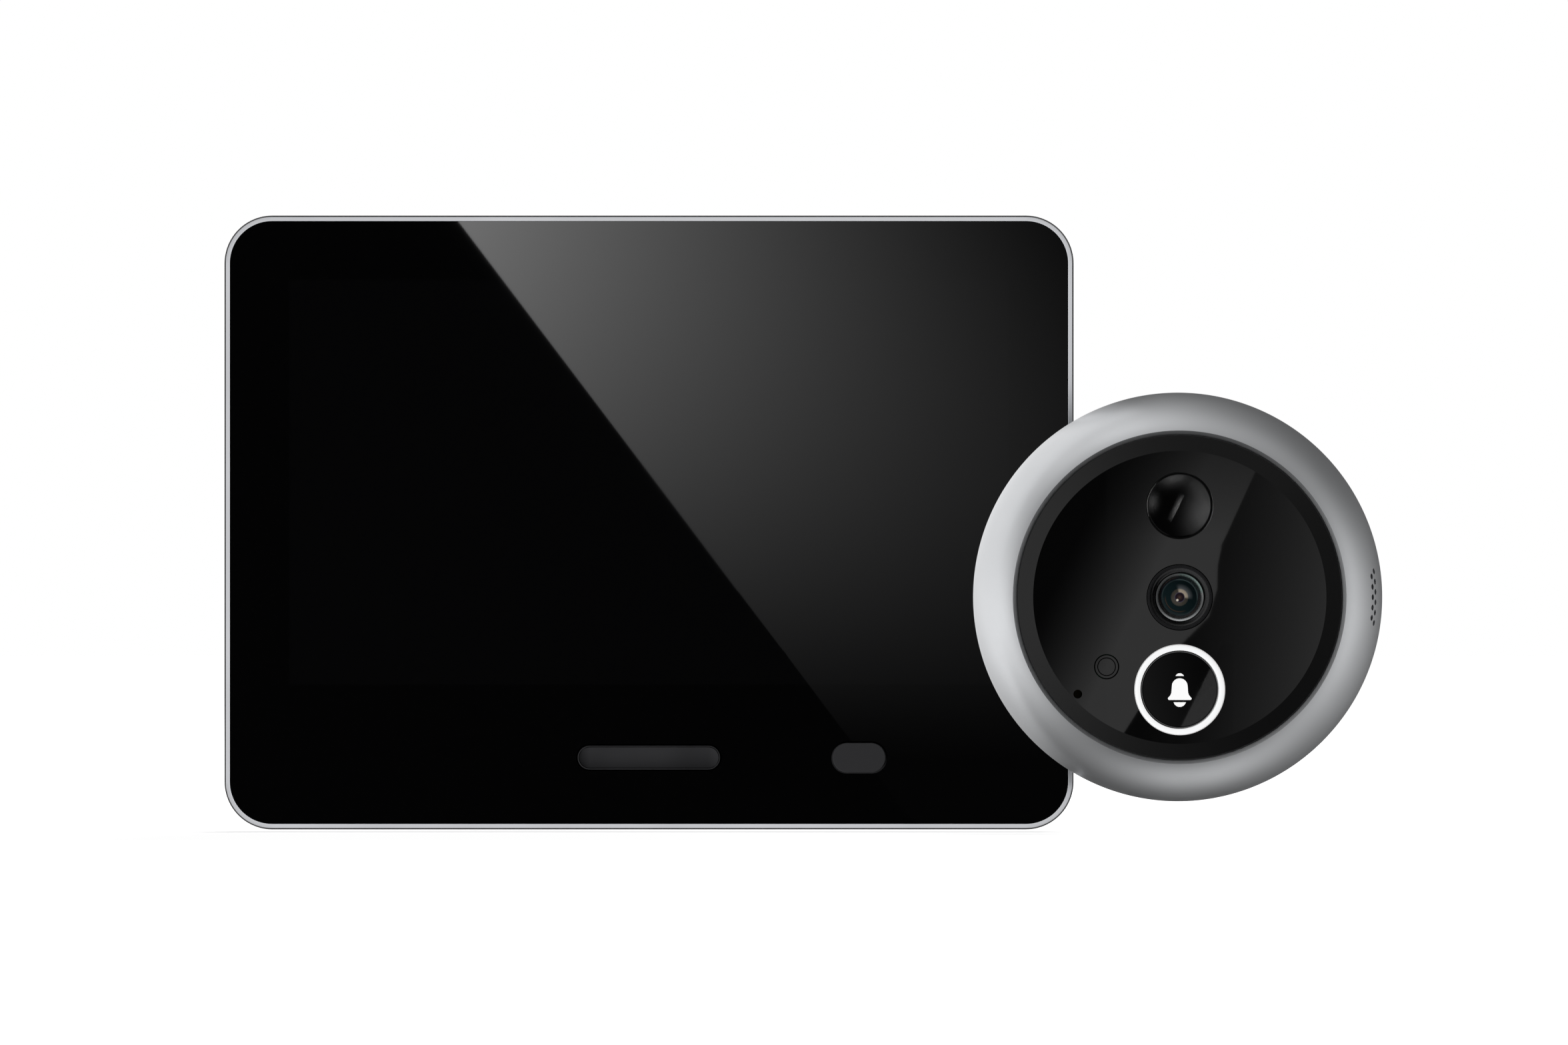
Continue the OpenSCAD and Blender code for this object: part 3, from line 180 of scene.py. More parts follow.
def length(name, description, millimetres):
    """A size that is given in millimetres and kept in metres."""
    return bpy.props.FloatProperty(
        name=name, description=description, default=millimetres * MM, precision=6, unit="LENGTH")


def turn(name, description, degrees):
    """An angle that is given in degrees."""
    return bpy.props.FloatProperty(
        name=name, description=description, default=math.radians(degrees), subtype="ANGLE")


def tint(name, description, *value):
    """A colour in linear light."""
    return bpy.props.FloatVectorProperty(
        name=name, description=description, default=value, size=3, min=0, max=1, subtype="COLOR")


class MonitorSizes(bpy.types.PropertyGroup):
    """Sizes of the indoor monitor's finished pieces."""
    corner: length("Case corner", "Corner radius of the case", 6.3)
    rim_width: length("Rim width", "Width of the metal rim beside the glass", 0.75)
    rim_slope: turn("Rim slope", "How far the rim's front falls away from the glass", 35)
    rim_edge: length("Rim edge", "Width of the steep edge round the rim's front", 0.2)
    rim_edge_slope: turn("Rim edge slope", "How steep that edge is", 78)
    rim_round: length("Rim rounding", "Softness of the rim's edges", 0.06)
    rim_ledge: length("Rim ledge", "Ledge of the rim behind the glass", 2.2)
    rim_ledge_depth: length("Ledge thickness", "Thickness of the rim's ledge", 1.5)
    shell_wall: length("Shell wall", "Wall of the rear shell", 1.8)
    fitting_edge: length("Fitting edges", "Softness of the screws' and the reset key's edges", 0.06)
    glass_edge: length("Glass edge", "Ground edge round the cover glass", 0.2)
    key_gap: length("Key gap", "Gap round the keys", 0.2)
    key_flange: length("Key flange", "Flange that keeps a key behind the glass", 0.8)
    key_flange_depth: length("Flange thickness", "Thickness of a key's flange", 1.0)
    key_stem: length("Key stem", "Radius of a key's stem", 0.9)
    flange_gap: length("Flange gap", "Gap between a key's flange and the glass", 0.2)
    scoop: length("Scoop", "Depth of the finger scoop in the home key", 0.55)
    scoop_lip: length("Scoop lip", "Flat lip round the home key", 0.14)
    lip_groove: length("Lip groove", "Width of the groove between the lip and the scoop", 0.08)
    lip_groove_depth: length("Lip groove depth", "Depth of that groove", 0.3)
    scoop_spread: length("Scoop spread", "How far the scoop reaches into that groove", 0.02)
    home_edge: length("Home key edge", "Softness of the home key's edge", 0.05)
    power_edge: length("Power key edge", "Rounding of the power key's front edge", 0.12)
    power_skirt: length("Power key skirt", "How far the power key's foot stands out at its sides", 0.16)
    picture_width: length("Picture width", "Width of the dark picture area", 95.2)
    picture_height: length("Picture height", "Height of the dark picture area", 53.6)
    picture_up: length("Picture height above the middle", "How far the picture sits above the middle", 5.3)


class DoorSizes(bpy.types.PropertyGroup):
    """Sizes of the pieces that fasten the set to a door."""
    bracket_edge: length("Bracket edge", "Softness of the stamped bracket's edges", 0.15)
    pad_width: length("Pad width", "Width of an adhesive pad", 12)
    pad_height: length("Pad height", "Height of an adhesive pad", 8)
    pad_corner: length("Pad corner", "Corner radius of an adhesive pad", 1.5)
    pad_edge: length("Pad edge", "Softness of a pad's edge", 0.2)
    sleeve_bore: length("Sleeve bore", "Radius of the clamp sleeve's bore", 6.1)
    sleeve_wall: length("Sleeve wall", "Wall of the clamp sleeve", 1.65)
    sleeve_chamfer: length("Sleeve chamfer", "Chamfer at the sleeve's end", 0.6)
    collar_step: length("Collar step", "How far the sleeve's collar stands out", 0.4)
    flange_radius: length("Flange radius", "Radius of the sleeve's flange", 11.0)
    flange_depth: length("Flange thickness", "Thickness of the sleeve's flange", 2.5)
    collar_depth: length("Collar length", "Length of the sleeve's collar", 1.7)
    notch_width: length("Notch width", "Width of the notches for a spanner", 3.0)
    notch_depth: length("Notch depth", "Depth of the notches for a spanner", 2.0)
    thread_length: length("Thread length", "Length of the barrel's thread", 16.0)
    thread_pitch: length("Thread pitch", "Pitch of the barrel's thread", 1.25)
    thread_depth: length("Thread depth", "Depth of the barrel's thread", 0.55)
    ring_groove: length("Ring groove", "Depth of the groove for the seal ring", 0.3)
    barrel_bore: length("Barrel bore", "Radius of the barrel's bore", 4.2)
    barrel_radius: length("Barrel radius", "Radius of the barrel's smooth part", 6.0)
    barrel_flange_depth: length("Barrel flange", "Thickness of the barrel's flange", 1.2)
    turned_edge: length("Turned edges", "Softness of the turned edges", 0.05)
    grommet_edge: length("Grommet edge", "Softness of the grommet's edges", 0.12)
    gasket_edge: length("Gasket edge", "Softness of the gasket's edges", 0.3)
    gasket_hole: length("Gasket hole", "Radius of the gasket's hole", 7.3)


class BellSizes(bpy.types.PropertyGroup):
    """Sizes of the outdoor bell's finished pieces."""
    ring_wall: length("Ring wall", "Wall of the metal housing", 1.6)
    side_height: length("Side height", "Straight side before the flank curves in", 2.8)
    back_chamfer: length("Back chamfer", "Chamfer round the housing's back", 0.6)
    flank_turn: turn("Flank turn", "How far the flank's curve turns towards the front", 72)
    mouth_chamfer: length("Mouth chamfer", "Chamfer inside the housing's mouth", 0.5)
    seat_gap: length("Seat gap", "Gap round the front window", 0.15)
    ledge_width: length("Ledge width", "Ledge that carries the window", 0.8)
    ledge_depth: length("Ledge thickness", "Thickness of the window's ledge", 1.2)
    hole_radius: length("Sound hole", "Radius of a sound hole", 0.38)
    hole_pitch: length("Sound hole pitch", "Distance between sound holes", 1.36)
    inner_row: turn("Inner row", "Place of the inner row of holes on the flank", 37)
    outer_row: turn("Outer row", "Place of the outer row of holes on the flank", 31.5)
    bevel_width: length("Window bevel", "Width of the window's bevel", 2.0)
    bevel_depth: length("Window bevel depth", "Depth of the window's bevel", 0.8)
    hole_gap: length("Hole gap", "Gap round the pieces in the window", 0.1)
    dome_gap: length("Dome gap", "Gap round the motion sensor's dome", 0.2)
    hole_edge: length("Hole edge", "Softness of the window's hole edges", 0.06)
    mic_radius: length("Microphone hole", "Radius of the microphone hole", 0.575)
    flange: length("Flange", "Width of the clamp flange behind the window", 0.65)
    flange_depth: length("Flange thickness", "Thickness of the clamp flanges", 1.1)
    dome_rise: length("Dome rise", "Height of the motion sensor's dome", 1.85)
    dome_wall: length("Dome wall", "Wall of the dome", 0.7)
    ring_width: length("Light ring", "Width of the light ring's face", 0.7)
    ring_skirt: length("Ring skirt", "Wall of the light ring's skirt", 0.05)
    ring_shoulder: length("Ring shoulder", "Height of the light ring's thick part", 4.4)
    guide_edge: length("Light ring edge", "Softness of the light ring's edges", 0.04)
    cap_flange: length("Cap flange", "Width of the button's flange", 0.65)
    cap_depth: length("Cap height", "Height of the button's cap above its flange", 4.5)
    cap_flange_depth: length("Cap flange thickness", "Thickness of the button's flange", 1.0)
    cap_stem: length("Button stem", "Radius of the button's stem", 1.2)
    cap_edge: length("Cap edge", "Rounding of the cap's edge", 0.18)
    sensor_groove: length("Sensor groove", "Radius of the groove in the light sensor's lens", 1.1)
    sensor_groove_width: length("Sensor groove width", "Width of that groove", 0.12)


class LensSizes(bpy.types.PropertyGroup):
    """Sizes of the camera lens and its shroud."""
    neck: length("Shroud neck", "Radius of the shroud in the window's hole", 4.25)
    shroud_bore: length("Shroud bore", "Bore of the shroud round the lens", 3.25)
    crest: length("Shroud crest", "Radius inside the shroud's outer lip", 3.9)
    groove_depth: length("Shroud groove", "Depth of the shroud's ring groove", 0.3)
    funnel: length("Shroud funnel", "Radius where the shroud's funnel starts", 3.62)
    throat: length("Shroud throat", "Radius where the shroud's funnel ends", 3.4)
    throat_depth: length("Throat depth", "Depth of the shroud's throat", 0.95)
    shroud_edge: length("Shroud edge", "Softness of the shroud's edges", 0.05)
    barrel_lip: length("Barrel lip", "Width of the bright lip round the front glass", 0.35)
    lip_edge: length("Lip edge", "Chamfer outside the bright lip", 0.04)
    lip_band: length("Lip band", "Width of the bright lip's outer band", 0.19)
    lip_fall: length("Lip fall", "How far the outer band falls towards the front glass", 0.1)
    lip_drop: length("Lip drop", "How far the steep inner band falls towards the front glass", 0.16)
    glass_seat: length("Glass seat", "Depth of the front glass's seat behind the lip", 1.3)
    glass_side: length("Glass side", "Height of the front glass's side", 0.5)
    glass_bulge: length("Glass bulge", "Bulge of the front glass", 0.7)
    cone_end: length("Cone end", "Radius where the baffle cone ends", 1.55)
    cone_depth: length("Cone depth", "Depth of the baffle cone", 1.3)
    iris: length("Iris", "Radius of the iris", 0.9)
    iris_depth: length("Iris thickness", "Thickness of the iris plate", 0.4)
    inner_depth: length("Inner depth", "Depth of the inner glass's seat", 0.8)
    rear_bore: length("Rear bore", "Radius of the barrel's rear bore", 2.0)
    baffle_steps: bpy.props.IntProperty(
        name="Baffle steps", description="Steps in the baffle cone", default=5, min=1)


class Finishes(bpy.types.PropertyGroup):
    """Colours of the finishes, in linear light."""
    ring: tint("Ring metal", "Bead-blasted metal of the bell's ring", 0.62, 0.63, 0.645)
    rim: tint("Rim metal", "Anodised metal of the monitor's rim", 0.78, 0.79, 0.82)
    shell: tint("Shell plastic", "Moulded plastic of the rear shell", 0.018, 0.018, 0.02)
    glass: tint("Cover glass", "Black print behind the cover glass", 0.0006, 0.0006, 0.0007)
    picture: tint("Picture area", "Dark display behind the cover glass", 0.0014, 0.0014, 0.0016)
    window: tint("Window", "Gloss black of the bell's window", 0.0008, 0.0008, 0.0009)
    home_key: tint("Home key", "Satin black of the home key", 0.034, 0.034, 0.036)
    power_key: tint("Power key", "Satin dark grey of the power key", 0.04, 0.04, 0.042)
    light_guide: tint("Light ring", "White light guide", 0.9, 0.9, 0.9)
    symbol: tint("Symbol", "White of the bell symbol", 0.9, 0.9, 0.9)
    sleeve: tint("Turned metal", "Plated metal of the sleeve and barrel", 0.56, 0.55, 0.53)
    bracket: tint("Bracket", "Zinc-plated steel of the bracket", 0.5, 0.51, 0.53)
    pad: tint("Pad film", "Red release film of the adhesive pads", 0.5, 0.03, 0.025)
    pad_foam: tint("Pad foam", "Foam of the adhesive pads", 0.3, 0.3, 0.29)


class Studio(bpy.types.PropertyGroup):
    """Camera, floor and lights."""
    camera_away: length("Camera distance", "Distance of the camera from the cover glass", 2296.6)
    camera_side: length("Camera side", "How far right of the monitor's middle the camera stands", 17.8)
    focal: bpy.props.FloatProperty(
        name="Focal length", description="Focal length in millimetres", default=400, unit="CAMERA")
    floor_gap: length("Floor gap", "Gap between the monitor and the floor", 0.5)
    floor_size: length("Floor size", "Side of the floor", 6000)
    cards_away: length("Panels distance", "Distance of the reflection panels from what mirrors them", 2900)
    shell_size: length("Shell size", "Radius of the smallest light shell", 4000)
    card_spare: length("Card spare", "How far the bounce card reaches past the monitor's right side", 7)
    surround: bpy.props.FloatProperty(
        name="Surround", description="Brightness of the studio's walls", default=0.012, min=0)


GROUPS = (
    ("monitor_sizes", MonitorSizes),
    ("door_sizes", DoorSizes),
    ("bell_sizes", BellSizes),
    ("lens_sizes", LensSizes),
    ("camera_finishes", Finishes),
    ("camera_studio", Studio),
)


# Modelling

def rest():
    """Leaves edit mode with nothing selected."""
    if bpy.context.object and bpy.context.object.mode != "OBJECT":
        bpy.ops.object.mode_set(mode="OBJECT")
    bpy.ops.object.select_all(action="DESELECT")


def take(piece):
    """Makes one piece the only selected one."""
    rest()
    piece.select_set(True)
    bpy.context.view_layer.objects.active = piece
    return piece


def named(name):
    """Names the piece that was just added."""
    piece = bpy.context.object
    piece.name = name
    piece.data.name = name
    return piece


def edit(piece):
    """Opens a piece in edit mode with all its points selected."""
    take(piece)
    bpy.ops.object.mode_set(mode="EDIT")
    bpy.ops.mesh.select_mode(type="VERT")
    bpy.ops.mesh.select_all(action="SELECT")


def close_up(piece):
    """Merges the points that meet, turns the faces outwards and leaves edit mode."""
    bpy.ops.mesh.select_all(action="SELECT")
    bpy.ops.mesh.remove_doubles(threshold=MERGE)
    bpy.ops.mesh.normals_make_consistent(inside=False)
    rest()
    return piece


def spot(node):
    """Where a node lies: its middle, its half sizes, and its back and front."""
    low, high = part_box(node)
    middle = (low + high) / 2
    return SimpleNamespace(
        x=middle.x, z=middle.z, half_w=(high.x - low.x) / 2, half_h=(high.z - low.z) / 2,
        back=high.y, front=low.y)


def between(start, end, steps):
    """Evenly spaced values from start to end."""
    return [start + (end - start) * i / steps for i in range(steps + 1)]


def arc(radius, depth, size, start, end, steps=8):
    """Points of a round stretch in a profile, by its middle, its radius and its angles in degrees."""
    return [(radius + size * math.cos(math.radians(t)), depth + size * math.sin(math.radians(t)))
            for t in between(start, end, steps)]


def chain(name, points, closed=True):
    """A new piece in edit mode: one chain of edges through the points."""
    rest()
    bpy.ops.mesh.primitive_plane_add(size=MM, location=(0, 0, 0))
    piece = named(name)
    bpy.ops.object.mode_set(mode="EDIT")
    bpy.ops.mesh.select_mode(type="VERT")
    bpy.ops.mesh.select_all(action="SELECT")
    bpy.ops.mesh.merge(type="CENTER")
    bpy.ops.transform.translate(value=points[0])
    route = [Vector(point) for point in points]
    if closed:
        route.append(route[0])
    for before, after in zip(route, route[1:]):
        bpy.ops.mesh.extrude_region_move(TRANSFORM_OT_translate={"value": after - before})
    bpy.ops.mesh.select_all(action="SELECT")
    bpy.ops.mesh.remove_doubles(threshold=MERGE)
    bpy.ops.mesh.select_all(action="SELECT")
    return piece


def spun(name, profile, centre, closed=True, along=(0, 1, 0), out=(1, 0, 0), steps=TURN_STEPS):
    """Spins a profile of (radius, place) points round an axis through the centre."""
    middle = Vector(centre)
    points = [middle + Vector(along) * place + Vector(out) * radius for radius, place in profile]
    piece = chain(name, points, closed)
    bpy.ops.mesh.spin(steps=steps, angle=math.tau, center=middle, axis=along)
    return close_up(piece)


def turned(name, node, profile, closed=True, steps=TURN_STEPS):
    """Spins a profile of (radius, height over the node's back) points round the node's own axis."""
    place = spot(node)
    points = [(radius, place.back - height) for radius, height in profile]
    return spun(name, points, (place.x, 0, place.z), closed, steps=steps)


def slab(name, x, z, width, height, corner, back, front, steps=12):
    """A plate with round corners that faces the front."""
    rest()
    bpy.ops.mesh.primitive_plane_add(size=1, location=(x, front, z), rotation=(math.pi / 2, 0, 0))
    piece = named(name)
    piece.scale = (width, height, 1)
    bpy.ops.object.transform_apply(location=True, rotation=True, scale=True)
    edit(piece)
    bpy.ops.mesh.bevel(affect="VERTICES", offset=corner - MERGE, segments=steps)
    bpy.ops.mesh.select_all(action="SELECT")
    bpy.ops.mesh.remove_doubles(threshold=4 * MERGE)
    bpy.ops.mesh.select_all(action="SELECT")
    bpy.ops.mesh.extrude_region_move(TRANSFORM_OT_translate={"value": (0, back - front, 0)})
    return close_up(piece)


def pin(name, x, z, radius, back, front, steps=96):
    """A round pin along the depth."""
    rest()
    bpy.ops.mesh.primitive_cylinder_add(
        vertices=steps, radius=radius, depth=back - front, location=(x, (back + front) / 2, z),
        rotation=(math.pi / 2, 0, 0))
    piece = named(name)
    bpy.ops.object.transform_apply(location=True, rotation=True, scale=True)
    return piece


def joined(pieces):
    """Joins pieces into the first of them."""
    take(pieces[0])
    for piece in pieces[1:]:
        piece.select_set(True)
    if len(pieces) > 1:
        bpy.ops.object.join()
    rest()
    return pieces[0]


def applied(piece, kind, **settings):
    """Applies one modifier to a piece."""
    take(piece)
    modifier = piece.modifiers.new(kind.title(), kind)
    for key, value in settings.items():
        setattr(modifier, key, value)
    bpy.ops.object.modifier_apply(modifier=modifier.name)
    return piece


def combined(piece, other, operation):
    """Cuts another piece out of a piece or adds it, and removes the other."""
    applied(piece, "BOOLEAN", operation=operation, solver="EXACT", object=other)
    bpy.data.objects.remove(other)
    return piece


def soften(piece, width, segments=3, limit=40):
    """Rounds the edges that turn by more than the limit in degrees."""
    return applied(piece, "BEVEL", width=width, segments=segments, limit_method="ANGLE",
                   angle_limit=math.radians(limit), use_clamp_overlap=True)


def settle(piece, body, slot, *nodes, limit=35):
    """Smooths a finished piece, hangs it on its body and gives it its finish."""
    edit(piece)
    close_up(piece)
    take(piece)
    bpy.ops.object.transform_apply(location=True, rotation=True, scale=True)
    bpy.ops.object.shade_smooth_by_angle(angle=math.radians(limit))
    applied(piece, "WEIGHTED_NORMAL", keep_sharp=True)
    piece.data.materials.clear()
    piece.data.materials.append(finish_of(slot))
    for group, (level, fields, slots) in LIGHT_GROUPS.items():
        if slot in slots:
            receivers(group).objects.link(piece)
    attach(piece, body)
    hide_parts(*nodes)
    rest()
    return piece


def node_copy(name, node):
    """A copy of a node's solid with its triangles merged into plain faces."""
    piece = frame["nodes"][node].copy()
    piece.data = piece.data.copy()
    piece.parent = None
    for key in list(piece.keys()):
        del piece[key]
    bpy.context.scene.collection.objects.link(piece)
    take(piece)
    named(name)
    edit(piece)
    bpy.ops.mesh.remove_doubles(threshold=2 * MERGE)
    bpy.ops.mesh.dissolve_limited(angle_limit=math.radians(0.5))
    rest()
    return piece


# Finishes

def new_finish(name, colour, roughness, metallic=0.0, **sockets):
    """A principled material with its constant values on its own sockets."""
    material = bpy.data.materials.new(name)
    material.use_nodes = True
    shader = material.node_tree.nodes["Principled BSDF"]
    shader.inputs["Base Color"].default_value = (*colour, 1)
    shader.inputs["Roughness"].default_value = roughness
    shader.inputs["Metallic"].default_value = metallic
    for key, value in sockets.items():
        shader.inputs[key.replace("_", " ")].default_value = value
    return material


def add_node(material, kind, inputs=None, **settings):
    """Adds a node with its settings, and its inputs as values or as other nodes' outputs."""
    tree = material.node_tree
    new = tree.nodes.new("ShaderNode" + kind)
    for key, value in settings.items():
        setattr(new, key, value)
    for key, value in (inputs or {}).items():
        if isinstance(value, bpy.types.NodeSocket):
            tree.links.new(value, new.inputs[key])
        else:
            new.inputs[key].default_value = value
    return new


def into(material, output, socket):
    """Links an output to the principled shader."""
    shader = material.node_tree.nodes["Principled BSDF"]
    material.node_tree.links.new(output, shader.inputs[socket])


def places(material, scale=(1, 1, 1), middle=(0, 0, 0)):
    """Object coordinates, stretched about a middle point."""
    coordinates = add_node(material, "TexCoord").outputs["Object"]
    shift = [-m * s for m, s in zip(middle, scale)]
    mapping = add_node(material, "Mapping", {"Vector": coordinates, "Location": shift, "Scale": scale})
    return mapping.outputs["Vector"]


def noise(material, grain, scale=(1, 1, 1), detail=2.0):
    """Noise whose grain is a size in millimetres, stretched along the axes."""
    inputs = {"Vector": places(material, scale), "Scale": 1 / (grain * MM), "Detail": detail}
    return add_node(material, "TexNoise", inputs).outputs[0]


def ramp(material, factor, *stops):
    """Colours along a factor, each stop as its place and a colour or a grey."""
    node = add_node(material, "ValToRGB", {"Fac": factor})
    elements = node.color_ramp.elements
    while len(elements) < len(stops):
        elements.new(0.5)
    for element, (place, value) in zip(elements, stops):
        element.position = place
        element.color = (value, value, value, 1) if isinstance(value, float) else (*value, 1)
    return node.outputs["Color"]


def shaded(colour, share):
    """A colour with its brightness multiplied."""
    return tuple(min(1.0, c * share) for c in colour)


def vary(material, colour, factor, spread):
    """Varies the base colour on both sides of its value."""
    low = shaded(colour, 1 - spread)
    high = shaded(colour, 1 + spread)
    into(material, ramp(material, factor, (NOISE_LOW, low), (NOISE_HIGH, high)), "Base Color")


def vary_roughness(material, factor, low, high):
    """Varies the roughness between two values."""
    span = {"Value": factor, "From Min": NOISE_LOW, "From Max": NOISE_HIGH, "To Min": low, "To Max": high}
    into(material, add_node(material, "MapRange", span).outputs["Result"], "Roughness")


def relief(material, height, strength, depth):
    """Raises the surface by a height pattern whose depth is in millimetres."""
    bump = add_node(material, "Bump", {"Height": height, "Strength": strength, "Distance": depth * MM})
    into(material, bump.outputs["Normal"], "Normal")


def flat_places(material, x, z):
    """Places in millimetres round an axis along the depth."""
    return places(material, (1 / MM, 0, 1 / MM), (x, 0, z))


def across(material, x, z):
    """Distance in millimetres from an axis along the depth."""
    flat = flat_places(material, x, z)
    return add_node(material, "VectorMath", {0: flat}, operation="LENGTH").outputs["Value"]


def depth_behind(material, place):
    """Distance in millimetres behind a place along the depth."""
    behind = places(material, (0, 1 / MM, 0), (0, place, 0))
    return add_node(material, "SeparateXYZ", {0: behind}).outputs["Y"]


def calculated(owner, operation, *values):
    """The output of a math node."""
    return add_node(owner, "Math", dict(enumerate(values)), operation=operation).outputs[0]


def along(owner, vector, way):
    """How far a vector reaches along a way."""
    return add_node(owner, "VectorMath", {0: vector, 1: way}, operation="DOT_PRODUCT").outputs["Value"]


def faded(owner, value, start, end):
    """A value's rise from nothing at the start to all at the end."""
    span = {"Value": value, "From Min": start, "From Max": end}
    return add_node(owner, "MapRange", span).outputs["Result"]


def sector(material, flat, degrees, start, end):
    """How far a place round an axis lies in a sector, by the cosines of its edges."""
    aim = (math.cos(math.radians(degrees)), 0, math.sin(math.radians(degrees)))
    way = add_node(material, "VectorMath", {0: flat}, operation="NORMALIZE").outputs["Vector"]
    return faded(material, along(material, way, aim), start, end)


def blended(material, share, first, second):
    """Two colours mixed by a share."""
    mix = add_node(material, "Mix", {0: share, 6: first, 7: second}, data_type="RGBA")
    return mix.outputs[2]


def grained(name, colour, roughness, grain=0.35, depth=0.02, **sockets):
    """Moulded plastic or rubber with a fine texture and uneven gloss."""
    material = new_finish(name, colour, roughness, **sockets)
    fine = noise(material, grain, detail=3.0)
    vary(material, colour, noise(material, 9.0), 0.12)
    vary_roughness(material, fine, roughness - 0.06, roughness + 0.06)
    relief(material, fine, 0.35, depth)
    return material


def worked(name, colour, roughness, stretch=(1, 1, 1), grain=0.3, depth=0.006):
    """Metal with fine lines or grain from its working, and uneven gloss."""
    material = new_finish(name, colour, roughness, 1.0)
    lines = noise(material, grain, stretch, 3.0)
    vary(material, colour, noise(material, 14.0), 0.05)
    vary_roughness(material, lines, roughness - 0.05, roughness + 0.07)
    relief(material, lines, 0.3, depth)
    return material


def polished(name, colour, roughness, grain, low, high):
    """Gloss black whose roughness wanders between two values."""
    material = new_finish(name, colour, roughness)
    vary_roughness(material, noise(material, grain, detail=3.0), low, high)
    return material


def ring_metal(colours):
    """Bead-blasted metal of the bell's ring."""
    return worked("ring_metal", colours.ring, 0.36, grain=0.12, depth=0.004)


def rim_metal(colours):
    """Satin anodised metal of the monitor's rim, polished on its steep edge."""
    material = worked("rim_metal", colours.rim, 0.42, grain=0.1, depth=0.003)
    sizes = bpy.context.scene.monitor_sizes
    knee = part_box("metal_rim")[0].y + (sizes.rim_width - sizes.rim_edge) * math.tan(sizes.rim_slope)
    depth = depth_behind(material, knee)
    into(material, ramp(material, depth, (0.0, 0.42), (0.04, 0.1), (0.9, 0.1), (0.96, 0.42)), "Roughness")
    return material


def cover_glass(colours):
    """Polished glass over black print, with the display a trace lighter."""
    material = new_finish("cover_glass", colours.glass, 0.015)
    sizes = bpy.context.scene.monitor_sizes
    halves = (2 / sizes.picture_width, 0, 2 / sizes.picture_height)
    near = places(material, halves, (0, 0, sizes.picture_up))
    sides = add_node(material, "SeparateXYZ", {0: near})
    wide = calculated(material, "ABSOLUTE", sides.outputs["X"])
    high = calculated(material, "ABSOLUTE", sides.outputs["Z"])
    edge = calculated(material, "MAXIMUM", wide, high)
    shade = ramp(material, edge, (0.0, colours.picture), (0.994, colours.picture), (0.998, colours.glass))
    into(material, shade, "Base Color")
    smears = noise(material, 30.0, (1, 1, 0.5), 3.0)
    vary_roughness(material, smears, 0.004, 0.008)
    return material


def window_black(colours):
    """Polished black window of the bell."""
    return polished("window_black", colours.window, 0.02, 12.0, 0.004, 0.009)


def button_black(colours):
    """Polished black cap of the bell button."""
    return polished("button_black", colours.window, 0.025, 6.0, 0.005, 0.01)


def pir_black(colours):
    """Gloss black dome that lets warmth through."""
    return polished("pir_black", colours.window, 0.03, 3.0, 0.02, 0.045)


def sensor_window(colours):
    """Dark lens of the light sensor."""
    return polished("sensor_window", colours.window, 0.02, 2.0, 0.004, 0.01)


def lens_black(colours):
    """Semi-gloss black of the lens shroud and barrel, with a bare metal lip round the front glass, and a
    painted teal reflection on the lip's upper right.
    """
    barrel = spot("lens_barrel")
    lip = bpy.context.scene.lens_sizes.barrel_lip / MM
    edge = barrel.half_w / MM
    black = (0.012, 0.012, 0.013)
    band = (0.045, 0.045, 0.046)
    material = grained("lens_black", black, 0.24, 0.2, 0.003)
    out = calculated(material, "DIVIDE", across(material, barrel.x, barrel.z), LENS_REACH)
    spare = 0.02
    blend = 0.004
    inner = (edge - lip - spare) / LENS_REACH
    outer = (edge + spare) / LENS_REACH
    funnel, crest = [radius / LENS_REACH for radius in SHROUD_BAND]
    # The lip's teal colour is a painted reflection, blended in at its upper right
    grey, teal_reflection_lip = [
        ramp(material, out, (inner - blend, black), (inner, lip_colour), (outer, lip_colour),
             (outer + blend, band), (funnel, band), (crest, black))
        for lip_colour in ((0.75, 0.77, 0.78), (0.6, 0.78, 0.74))]
    share = sector(material, flat_places(material, barrel.x, barrel.z), 52, 0.74, 0.8)
    into(material, blended(material, share, grey, teal_reflection_lip), "Base Color")
    bare = ramp(material, out, (inner - blend, 0.0), (inner, 1.0), (outer, 1.0), (outer + blend, 0.0))
    into(material, bare, "Metallic")
    return material


